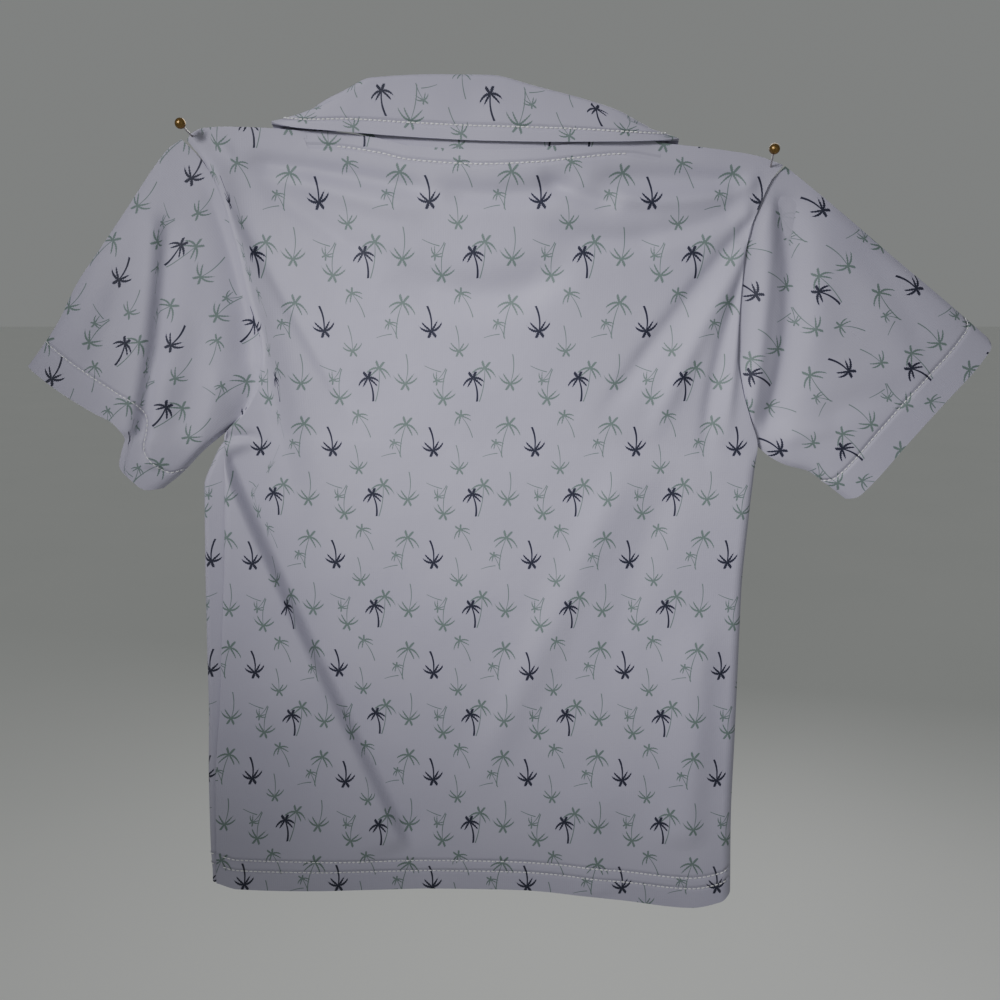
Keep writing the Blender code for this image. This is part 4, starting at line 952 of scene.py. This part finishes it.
button_finish = cast_polyester()
button_bars = []
for number, drop in enumerate(BUTTON_DROPS, start=1):
    face = front_face(np.array([[front_share(0.0)]]), np.array([[down_front(drop)]]))[0, 0]
    seat_point = face + np.array([0.0, 2.0 * SEAM + 1.2, 0.0])
    local = button_points()
    placed = seat_point + np.stack([local[..., 0], local[..., 2], local[..., 1]], axis=-1)
    button = turned_mesh("button_pearl_%d" % number, placed, (button_finish,))
    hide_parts("button_%d" % number)
    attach(button, "root")
    for dx in (-HOLE_OFF, HOLE_OFF):
        line = seat_point + np.array([[dx, 1.1, -1.5], [dx, 1.36, -0.7], [dx, 1.42, 0.0],
                                      [dx, 1.36, 0.7], [dx, 1.1, 1.5]])
        for shift in (-0.2, 0.2):
            button_bars.append((line + np.array([shift, 0.0, 0.0]), np.tile([0.0, 1.0, 0.0], (5, 1))))
sewn("button_thread", button_bars, pitch=2.9, length=2.9, radius=0.22, raised=0.0)

# === Sleeves ======================================================================================
# Two short sleeves, each one piece folded at its top and joined under the arm, hanging flattened
# with the cuff open. They meet the body at the armholes, and one row of stitches runs round the cuff.

LEFT_SLEEVE = {
    "upper": ((-142.5, 6.6), (-148.7, 2.6), (-155.0, -4.5), (-170.0, -24.7), (-183.3, -42.4),
              (-196.7, -60.3), (-206.8, -78.0), (-216.7, -91.5), (-223.4, -99.7)),
    "cuff": ((-223.4, -99.7), (-205.8, -113.0), (-190.3, -122.8), (-181.5, -127.5),
             (-176.6, -134.5), (-179.0, -142.0), (-180.4, -148.5), (-175.2, -156.0),
             (-168.0, -161.0), (-160.8, -160.6)),
    "under": ((-127.4, -131.6), (-139.3, -141.3), (-151.5, -153.4), (-160.8, -160.6)),
    "y_middle": ((0.0, -8.6), (0.3, -9.0), (0.7, -9.6), (1.0, -9.8)),
    "half_depth": ((0.0, 2.6), (0.15, 4.6), (0.4, 5.8), (0.75, 6.0), (1.0, 5.2)),
    "creases": (
        # x0, z0, x1, z1, bend, width_left, width_right, height, fade_in, fade_out
        (-154.5, -23.8, -174.8, -135.6, 2.9, 9.0, 3.4, 2.6, 0.10, 0.04),
        (-151.2, -23.8, -170.6, -135.6, 3.3, 3.4, 6.0, -2.8, 0.10, 0.04),
        (-158.0, -92.0, -166.0, -150.0, 2.0, 3.4, 12.0, 1.8, 0.30, 0.03),
        (-127.3, -8.0, -116.3, -115.9, 5.4, 8.0, 6.0, -3.6, 0.15, 0.25),
        (-112.0, -96.0, -127.0, -130.0, 4.0, 5.0, 5.0, -1.4, 0.30, 0.25),
        (-136.0, -70.0, -158.0, -140.0, 4.0, 7.0, 7.0, -1.4, 0.30, 0.25),
        (-128.0, -98.0, -146.0, -146.0, 3.0, 5.0, 5.0, 1.3, 0.25, 0.25),
        (-161.0, -16.0, -208.0, -96.0, 2.0, 8.0, 8.0, 1.2, 0.25, 0.25),
        (-172.0, -50.0, -196.0, -108.0, 2.0, 6.0, 6.0, -0.9, 0.30, 0.25),
    ),
}
RIGHT_SLEEVE = {
    "upper": ((143.2, -5.6), (149.7, -10.4), (173.2, -28.4), (198.5, -48.5), (223.7, -68.0),
              (246.3, -86.1)),
    "cuff": ((246.3, -86.1), (247.2, -90.0), (243.8, -95.8), (226.8, -116.4), (208.7, -138.2),
             (190.8, -160.5), (186.1, -165.0), (181.6, -166.1)),
    "under": ((136.1, -139.6), (143.5, -145.4), (151.6, -149.2), (161.7, -151.9),
              (170.6, -157.9), (181.6, -166.1)),
    "y_middle": ((0.0, -8.6), (0.3, -8.8), (0.7, -9.0), (1.0, -9.0)),
    "half_depth": ((0.0, 2.6), (0.15, 4.6), (0.4, 5.6), (0.75, 5.6), (1.0, 5.0)),
    "creases": (
        (135.4, -16.9, 129.4, -135.8, 2.2, 5.0, 4.5, 3.2, 0.08, 0.15),
        (141.7, -14.7, 138.2, -138.7, 8.1, 5.0, 9.0, -4.4, 0.08, 0.12),
        (152.0, -18.0, 156.0, -110.0, 6.0, 6.0, 9.0, 1.2, 0.25, 0.35),
        (156.0, -24.0, 216.0, -120.0, 5.0, 10.0, 8.0, 1.3, 0.25, 0.25),
        (170.0, -34.0, 220.0, -100.0, 3.0, 7.0, 7.0, -0.8, 0.25, 0.30),
        (160.0, -128.0, 214.0, -112.0, 4.0, 7.0, 8.0, -1.3, 0.30, 0.20),
        (146.0, -138.0, 176.0, -132.0, 3.0, 4.0, 5.0, 1.0, 0.25, 0.35),
    ),
}
CUFF_ROW = 15.6             # stitches above the cuff's edge, mm
SLEEVE_GRID = (58, 84)      # columns across one layer, and rows from the armhole to the cuff
TUCK = 1.6                  # of the sleeve under the body's edge at the armhole, mm
FRONT_TUCK = 1.3            # of the sleeve's front layer behind the front panel, mm


def armhole(sizes, table, sign):
    """The sleeve's end of the armhole seam in x and z, and its distance share for each v."""
    v = np.linspace(0.0, UNDERARM, 60)
    seam = side(table, (0, 1, 2))(v)[:, (0, 2)]
    share = distances(seam)
    tangent = unit(np.gradient(seam, axis=0))
    seam = seam - sign * TUCK * np.stack([-tangent[:, 1], tangent[:, 0]], axis=1)
    near, far = (1.0 - share[:, None]) ** 6, share[:, None] ** 6
    seam = seam + ((np.asarray(sizes["upper"][0]) - seam[0]) * near
                   + (np.asarray(sizes["under"][0]) - seam[-1]) * far)
    return v, share, lambda s: smooth(share, seam, s)


def sleeve_ring(sizes, table, sign, inset):
    """Points round a sleeve, inset from its right side: the back layer, then the front layer.

    Each layer is a patch between the armhole, the cuff and the two fold lines, puffed out by
    (1 - |2s - 1|^4)^0.5 and creased, and starts at the body panel that it is sewn to.
    """
    v, share, seam = armhole(sizes, table, sign)
    upper, under, cuff = curve(sizes["upper"]), curve(sizes["under"]), curve(sizes["cuff"])
    layers = []
    rows = np.linspace(0.0, UNDERARM, SLEEVE_GRID[0])
    for way, depth in ((-1.0, 1.0), (1.0, 0.8)):
        edge_s = np.full_like(rows, 0.5 + 0.5 * sign)
        panel = back_form(edge_s, rows) if way < 0.0 else front_face(edge_s, rows)
        s, u = grid(np.interp(rows, v, share), np.linspace(0.0, 1.0, SLEEVE_GRID[1]))
        edge = inset / np.linalg.norm(upper(u) - under(u), axis=-1)
        flat = blend(seam, cuff, upper, under, u, edge + s * (1.0 - 2.0 * edge), reach=1, drop=1)
        round_off = (1.0 - np.abs(2.0 * s - 1.0) ** 4) ** 0.5
        middle = smooth(*zip(*sizes["y_middle"]), u)[..., 0]
        own = way * depth * smooth(*zip(*sizes["half_depth"]), u)[..., 0] * round_off
        tucked = 0.0 if way < 0.0 else FRONT_TUCK
        at_seam = (panel[:, 1:2] - tucked - middle) * round_off
        y = own + (at_seam - own) * (1.0 - ease(u / 0.3))
        x, z = flat[..., 0], flat[..., 1]
        push = slack(x + 40.0 * way, z, 0.5)
        if way < 0.0:
            push = push + crease_height(sizes["creases"], x, z)
        y = y + way * push * round_off * ease(u / 0.06)
        thin = np.maximum(1.0 - inset / np.maximum(np.abs(y), 1e-6), 0.06)
        layers.append(np.stack([x, middle + y * thin, z], axis=-1))
    return np.concatenate([layers[0], layers[1][-2:0:-1]])


def along_grain(x, z, turn, pinned):
    """Place on the print, in mm, with the grain turned anticlockwise by turn degrees. pinned is a
    point of the sleeve and the place on the print that falls there."""
    (x0, z0), (u0, v0) = pinned
    c, s = math.cos(math.radians(turn)), math.sin(math.radians(turn))
    return np.stack([(x - x0) * c + (z - z0) * s + u0, -(x - x0) * s + (z - z0) * c + v0], axis=-1)


def sleeve_print(sizes, ring, turn, pinned, lower=None):
    """Print round a sleeve: the back layer is laid along the grain, and the front layer is the
    same place mirrored over the upper fold line, so that the palms run on over the fold. lower
    gives another turn and pin for the part of the back beyond the sleeve's long crease."""
    count = SLEEVE_GRID[0]
    a, b = np.array(sizes["upper"][0]), np.array(sizes["upper"][-1])
    way = unit(b - a)
    square = np.array([-way[1], way[0]])
    closed = np.concatenate([ring, ring[:1]])
    flat = closed[..., (0, 2)]
    off = ((flat - a) @ square)[..., None] * square
    mirrored = flat - 2.0 * off
    mirrored[:count] = flat[:count]
    mirrored[-1] = flat[0] - 2.0 * off[0]
    printed = along_grain(mirrored[..., 0], mirrored[..., 1], turn, pinned)
    if lower is not None:
        x, z = mirrored[..., 0], mirrored[..., 1]
        crease = np.interp(z, (-150.0, -92.0, -20.0, 10.0), (-178.0, -160.0, -151.0, -146.0))
        beyond = (ease((x - crease) / 2.6 + 0.5) * ease((-16.0 - z) / 34.0))[..., None]
        printed = printed + (along_grain(x, z, *lower) - printed) * beyond
    return printed


cuff_cloth = printed_interlock("printed interlock, sleeve", {"cuff": (CUFF_ROW,)})
PALM_PLACE = (0.0, PALM_MIDDLE)
for name, sizes, table, sign, turn, pinned, lower in (
        ("left", LEFT_SLEEVE, LEFT_EDGE, -1.0, -37.4, ((-136.3, -8.4), PALM_PLACE),
         (-47.0, ((-148.9, -86.9), (REPEAT[0], PALM_MIDDLE - REPEAT[1])))),
        ("right", RIGHT_SLEEVE, RIGHT_EDGE, 1.0, 52.0, ((158.7, -23.8), PALM_PLACE), None)):
    outer = sleeve_ring(sizes, table, sign, 0.0)
    inner = sleeve_ring(sizes, table, sign, LAYER)
    to_cuff = to_last_row(outer)
    sleeve = cloth_shell("sleeve_" + name + "_cloth", outer, inner,
                         sleeve_print(sizes, outer, turn, pinned, lower), {"cuff": to_cuff},
                         (cuff_cloth, wrong_side), ring=True)
    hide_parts("sleeve_" + name)
    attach(sleeve, "root")
    closed = np.concatenate([outer, outer[:1]])
    row, down, _ = row_at(closed, np.concatenate([to_cuff, to_cuff[:1]]), CUFF_ROW)
    n = unit(np.cross(np.gradient(row, axis=0), down))
    n = n * np.sign((n[:, 1] * (row[:, 1] - outer.mean(axis=0)[-8, 1])).sum())
    cuff_thread = sewn("sleeve_" + name + "_cuff_stitches", [(row, n)], radius=0.27, raised=0.05)
    around, down = longest(closed, 0), longest(outer, 1)

# === Collar =======================================================================================
# Collar of the same cloth, one thick shell for its plies, folded over: the stand meets the neckline,
# and the fall hangs on the back with a row of white topstitching near its edge.

COLLAR = (
    # seam x, y, z;        fold x, y, z;          outer edge x, y, z;     facing in degrees
    (-4.0, -5.2, -56.0, -5.0, -3.4, -49.0, -46.0, -1.8, -90.0, 90.0),
    (-17.5, -5.2, -53.4, -17.0, -3.4, -45.4, -58.0, -1.8, -78.0, 90.0),
    (-35.0, -5.2, -45.2, -32.5, -3.4, -36.6, -72.0, -1.8, -60.0, 90.0),
    (-50.0, -5.2, -33.0, -45.5, -3.5, -24.0, -84.0, -2.0, -40.0, 90.0),
    (-60.6, -5.9, -18.0, -56.5, -4.2, -8.0, -93.0, -2.4, -18.0, 93.0),
    (-66.6, -7.3, -3.2, -66.0, -5.4, 7.0, -99.5, -3.0, 2.0, 105.0),
    (-69.6, -8.6, 7.6, -74.5, -6.6, 15.0, -99.5, -4.0, 12.2, 140.0),
    (-70.8, -10.6, 11.2, -78.5, -9.8, 19.6, -99.8, -8.4, 14.8, 185.0),
    (-67.6, -12.6, 10.6, -74.0, -13.2, 22.8, -96.8, -12.2, 13.2, 235.0),
    (-58.0, -12.8, 8.4, -64.5, -15.6, 27.0, -88.0, -15.0, 11.2, 258.0),
    (-43.0, -13.8, 4.6, -51.0, -17.1, 32.6, -64.0, -18.0, 8.8, 267.0),
    (-20.0, -15.1, 1.2, -22.0, -17.6, 33.9, -28.0, -18.9, 6.0, 270.0),
    (2.0, -15.4, 0.2, 3.0, -17.7, 33.6, 3.0, -19.2, 4.6, 270.0),
    (24.0, -15.0, 1.3, 25.0, -17.5, 28.6, 32.0, -18.9, 4.2, 270.0),
    (43.0, -13.6, 3.6, 47.0, -16.9, 23.2, 62.0, -17.6, 4.5, 273.0),
    (57.0, -12.6, 6.0, 63.0, -15.2, 18.4, 82.0, -14.8, 5.4, 282.0),
    (66.0, -12.4, 8.0, 72.2, -12.8, 14.0, 88.5, -12.2, 6.2, 305.0),
    (68.8, -10.4, 8.2, 77.0, -9.6, 11.6, 92.5, -8.6, 7.0, 355.0),
    (67.8, -8.6, 4.2, 72.0, -6.6, 9.4, 92.5, -4.2, 4.0, 400.0),
    (64.8, -7.3, -5.6, 63.8, -5.4, 3.0, 91.5, -3.0, -6.0, 435.0),
    (59.4, -5.9, -20.0, 55.4, -4.2, -11.0, 89.0, -2.4, -23.0, 447.0),
    (49.8, -5.2, -34.4, 45.3, -3.5, -25.6, 82.0, -2.0, -43.0, 450.0),
    (35.0, -5.2, -46.2, 32.5, -3.4, -37.8, 71.0, -1.8, -62.0, 450.0),
    (17.5, -5.2, -54.0, 17.0, -3.4, -46.0, 57.0, -1.8, -79.0, 450.0),
    (4.0, -5.2, -56.0, 5.0, -3.4, -49.4, 45.0, -1.8, -91.0, 450.0),
)
FOLD_RADIUS = 2.0           # of the collar over its fold line
COLLAR_THICK = 1.15
TOPSTITCH = 6.4             # in from the collar's outer edge, mm
EDGE_TO_PALM = 17.0         # a row of dark palms from the outer edge, mm
COLLAR_GRID = (420, 22)     # columns along the collar, and rows down its fall


def collar_face(inset, turns=None):
    """The folded strip, from the neck seam up its stand, over the fold line and down to the edge.

    The stand is a straight rise, the fold an arc of FOLD_RADIUS about a line just under it, and the
    fall a ruled face from there to the outer edge, which sags a little between them.
    """
    table = np.array(COLLAR)
    knots = distances(table[:, 3:6])
    crowd = np.interp(np.arange(24) + 0.5, (0, 5, 6, 9, 12, 15, 18, 24), (1, 1, 2.6, 2.6, 1, 2.4, 2.4, 1))
    shares = np.r_[0.0, np.cumsum(np.diff(knots) * crowd)]
    t = np.interp(np.linspace(0.0, 1.0, COLLAR_GRID[0]), shares / shares[-1], knots)
    seam, fold, edge = [smooth(knots, table[:, k:k + 3], t) for k in (0, 3, 6)]
    facing = np.radians(smooth(knots, table[:, 9], t)[:, 0])
    outwards = np.stack([np.cos(facing), np.sin(facing), np.zeros_like(facing)], axis=1)
    rise = fold - seam
    rise = unit(rise - (rise * outwards).sum(axis=1, keepdims=True) * outwards)
    base = fold - FOLD_RADIUS * rise
    radius = FOLD_RADIUS - inset
    foot = seam + inset * outwards
    rows = [foot + (base - radius * outwards - foot) * k for k in np.linspace(0.0, 1.0, 9)[:-1]]
    for turn in np.radians(np.linspace(0.0, 180.0, 11)):
        rows.append(base - radius * (math.cos(turn) * outwards - math.sin(turn) * rise))
    start = base + FOLD_RADIUS * outwards
    over = unit(np.cross(edge - start, np.gradient(edge, axis=0)))
    ripple = 0.35 * (np.sin(t * 61.0) + 0.6 * np.sin(t * 97.0 + 1.0))[:, None]
    for k in np.linspace(0.0, 1.0, COLLAR_GRID[1])[1:]:
        sag = (0.25 * math.sin(math.pi * k) + ripple * k * (1.0 - k) * 2.0) * np.ones((len(t), 1))
        rows.append(start + (edge - start) * k + (sag - inset) * over)
    return np.array(rows).transpose(1, 0, 2)


collar_cloth = printed_interlock("printed interlock, collar", {"edge": (TOPSTITCH,), "end": (TOPSTITCH,)})
outer, inner = collar_face(0.0), collar_face(COLLAR_THICK)
# The print is turned upside down on the fall: across along the outer edge, and up from it.
from_edge = to_last_row(outer)
steps = np.linalg.norm(np.diff(outer[:, -1], axis=0), axis=-1)
along_edge = np.r_[0.0, np.cumsum(steps)]
steps = np.linalg.norm(np.diff(outer, axis=0), axis=-1)
along = np.concatenate([np.zeros((1, outer.shape[1])), np.cumsum(steps, axis=0)])
middle = np.argmin(np.abs(outer[150:300, -1, 0] - 4.2)) + 150
printed = np.stack([along[middle] - along, PALM_MIDDLE + EDGE_TO_PALM - from_edge], axis=-1)
from_end = np.minimum(along_edge, along_edge[-1] - along_edge)[:, None] * np.ones_like(from_edge)
collar = cloth_shell("collar_cloth", outer, inner, printed, {"edge": from_edge, "end": from_end},
                     (collar_cloth, collar_cloth))
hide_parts("collar")
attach(collar, "root")

row, down, low = row_at(outer, from_edge, TOPSTITCH)
n = unit(np.cross(down, np.gradient(row, axis=0)))
n = n * np.sign(((outer - inner)[np.arange(len(outer)), low] * n).sum(axis=1).mean())
inside = (from_end[:, 0] > TOPSTITCH)
collar_runs = [(row[inside], n[inside])]
for column in (np.argmax(inside), len(inside) - 1 - np.argmax(inside[::-1])):
    run = from_edge[column]
    part = (run > TOPSTITCH) & (run < run.max() * 0.62)
    line = outer[column][part]
    collar_runs.append((line, np.tile(n[column], (len(line), 1))))
collar_thread = sewn("collar_topstitch", collar_runs, pitch=2.2, length=1.75)

# === Pins =========================================================================================
# Two ball-head pins hold the shirt on the wall: a 5 mm ball, cast in brass and bronzed, with the
# bright patches that handling leaves, on a hardened steel pin that goes 10 mm into the wall.

PIN_BALL_RADIUS = 2.5
PIN_SHAFT_RADIUS = 0.45
PIN_DEPTH = 10.0
PINS = (
    # name, ball x, y, z;                where the shaft meets the cloth x, y, z
    ("pin_left", (-138.8, -22.0, 11.8), (-136.4, -9.0, 6.8)),
    ("pin_right", (134.4, -22.0, 0.6), (136.0, -9.0, -6.9)),
)


def revolved(section, ball, entry, sides):
    """A section of (radius, distance from the ball's middle) carried round the pin's own line."""
    ball, entry = np.asarray(ball, float), np.asarray(entry, float)
    way = unit(entry - ball)
    first = unit(np.cross((1.0, 0.0, 0.0), way))
    second = np.cross(way, first)
    angle = np.linspace(0.0, 2.0 * math.pi, sides, endpoint=False)
    r, along = np.array(section).T
    ring = np.cos(angle)[:, None] * first + np.sin(angle)[:, None] * second
    return ball + r[:, None, None] * ring[None] + along[:, None, None] * way


def bronzed_brass():
    """Cast brass, bronzed: a dark warm metal, worn brighter in patches, slightly pitted."""
    surface, tree, shader, where = material("cast brass, bronzed")
    wear = add(tree, "ShaderNodeTexNoise", {"Vector": where, "Scale": 420.0, "Detail": 4.0})
    tone = add(tree, "ShaderNodeMix", {0: wear, 6: linear("#5A4528"), 7: linear("#B29159")},
               data_type="RGBA")
    tree.links.new(tone.outputs[2], shader.inputs["Base Color"])
    rough = add(tree, "MULTIPLY_ADD", (wear, -0.16, 0.42))
    tree.links.new(rough.outputs[0], shader.inputs["Roughness"])
    pits = add(tree, "ShaderNodeBump", {"Height": wear, "Distance": 0.00015})
    tree.links.new(pits.outputs[0], shader.inputs["Normal"])
    shader.inputs["Metallic"].default_value = 1.0
    return surface


def drawn_steel():
    """Hardened steel wire, drawn and polished: bright, with fine rings from grinding."""
    surface, tree, shader, where = material("drawn steel, polished")
    rings = add(tree, "ShaderNodeTexWave", {"Vector": where, "Scale": 900.0, "Distortion": 0.8},
                bands_direction="Y")
    tone = add(tree, "ShaderNodeMix", {0: rings.outputs[1], 6: linear("#A9A69F"),
                                       7: linear("#C9C6BE")}, data_type="RGBA")
    tree.links.new(tone.outputs[2], shader.inputs["Base Color"])
    rough = add(tree, "MULTIPLY_ADD", (rings.outputs[1], 0.1, 0.22))
    tree.links.new(rough.outputs[0], shader.inputs["Roughness"])
    shader.inputs["Metallic"].default_value = 1.0
    return surface


bronze, steel = bronzed_brass(), drawn_steel()
for name, ball, entry in PINS:
    slope = (entry[1] - ball[1]) / math.dist(ball, entry)
    length = (PIN_DEPTH - ball[1]) / slope
    a = np.linspace(0.0, math.pi - 0.34, 30)
    head = [(PIN_BALL_RADIUS * math.sin(k), -PIN_BALL_RADIUS * math.cos(k)) for k in a]
    head += [(0.84, 2.62), (0.82, 3.1), (0.74, 3.3), (0.5, 3.36), (0.0, 3.36)]
    shaft = [(0.0, 2.2), (PIN_SHAFT_RADIUS * 0.98, 2.2), (PIN_SHAFT_RADIUS, 2.4),
             (PIN_SHAFT_RADIUS, length - 4.0), (PIN_SHAFT_RADIUS * 0.6, length - 1.7),
             (0.04, length - 0.05), (0.0, length)]
    ball_piece = turned_mesh(name + "_ball", revolved(head, ball, entry, 48), (bronze,))
    shaft_piece = turned_mesh(name + "_shaft", revolved(shaft, ball, entry, 24), (steel,))
    shaft_piece.data.set_sharp_from_angle(angle=math.radians(40.0))
    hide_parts(name)
    for piece in (ball_piece, shaft_piece):
        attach(piece, "root")

# === Floor, light and camera ======================================================================
# A plain pale floor well below the shirt, a soft lamp above and left of the camera with a weak fill,
# and a camera 65 mm below the pins, looking 11 degrees down.

FLOOR_DROP = 1.25           # m below the pins
x, y = grid(np.linspace(-40.0, 40.0, 41), np.linspace(-40.0, 40.0, 41))
z = np.full_like(x, -FLOOR_DROP)
index = np.arange(x.size).reshape(x.shape)
quads = np.stack([index[:-1, :-1], index[1:, :-1], index[1:, 1:], index[:-1, 1:]], -1).reshape(-1, 4)
mesh = bpy.data.meshes.new("floor")
mesh.from_pydata(np.stack([x, y, z], axis=-1).reshape(-1, 3), [], quads)
floor = linked("floor", mesh)
painted, tree, shader, where = material("painted floor, pale grey")
cloud = add(tree, "ShaderNodeTexNoise", {"Vector": where, "Scale": 1.5, "Detail": 3.0})
tone = add(tree, "ShaderNodeMix", {0: cloud, 6: linear("#EEEFED"), 7: linear("#F4F4F2")},
           data_type="RGBA")
tree.links.new(tone.outputs[2], shader.inputs["Base Color"])
shader.inputs["Roughness"].default_value = 0.9
mesh.materials.append(painted)

world = bpy.data.worlds.new("studio")
world.use_nodes = True
world.node_tree.nodes["Background"].inputs["Color"].default_value = linear("#BABDBB")
world.node_tree.nodes["Background"].inputs["Strength"].default_value = 0.44
bpy.context.scene.world = world


def aimed(thing, place, at):
    """Puts a light or camera at a place, turned so that its -Z looks at a point."""
    away = unit(np.asarray(place, float) - np.asarray(at, float))
    across = unit(np.cross((0.0, 0.0, 1.0), away))
    up = np.cross(away, across)
    turn = [[across[k], up[k], away[k], place[k]] for k in range(3)] + [[0.0, 0.0, 0.0, 1.0]]
    thing.matrix_world = [list(column) for column in zip(*turn)]
    bpy.context.scene.collection.objects.link(thing)


for name, size, power, colour, place in (
        ("fill_right", 1.2, 1.0, "#F4F6FF", (1.0, -1.5, -0.1)),
        ("wall_side", 1.2, 14.0, "#FFFFFF", (0.4, 1.6, 0.7))):
    lamp = bpy.data.lights.new(name, "AREA")
    lamp.shape, lamp.size, lamp.energy = "SQUARE", size, power
    lamp.color = linear(colour)[:3]
    aimed(bpy.data.objects.new(name, lamp), place, (0.0, -0.01, -0.17))

key = bpy.data.lights.new("lamp_above", "SPOT")
key.spot_size, key.spot_blend, key.shadow_soft_size = math.radians(32.0), 1.0, 0.13
key.energy, key.color = 36.0, linear("#FBFAFF")[:3]
aimed(bpy.data.objects.new("lamp_above", key), (-0.46, -0.66, 0.22), (0.04, -0.01, -0.135))

camera = bpy.data.cameras.new("camera")
camera.sensor_width, camera.lens = 36.0, 38.0
camera_object = bpy.data.objects.new("camera", camera)
aimed(camera_object, (0.0079, -0.5303, -0.06545), (0.0079, -0.012, -0.1662))
bpy.context.scene.camera = camera_object
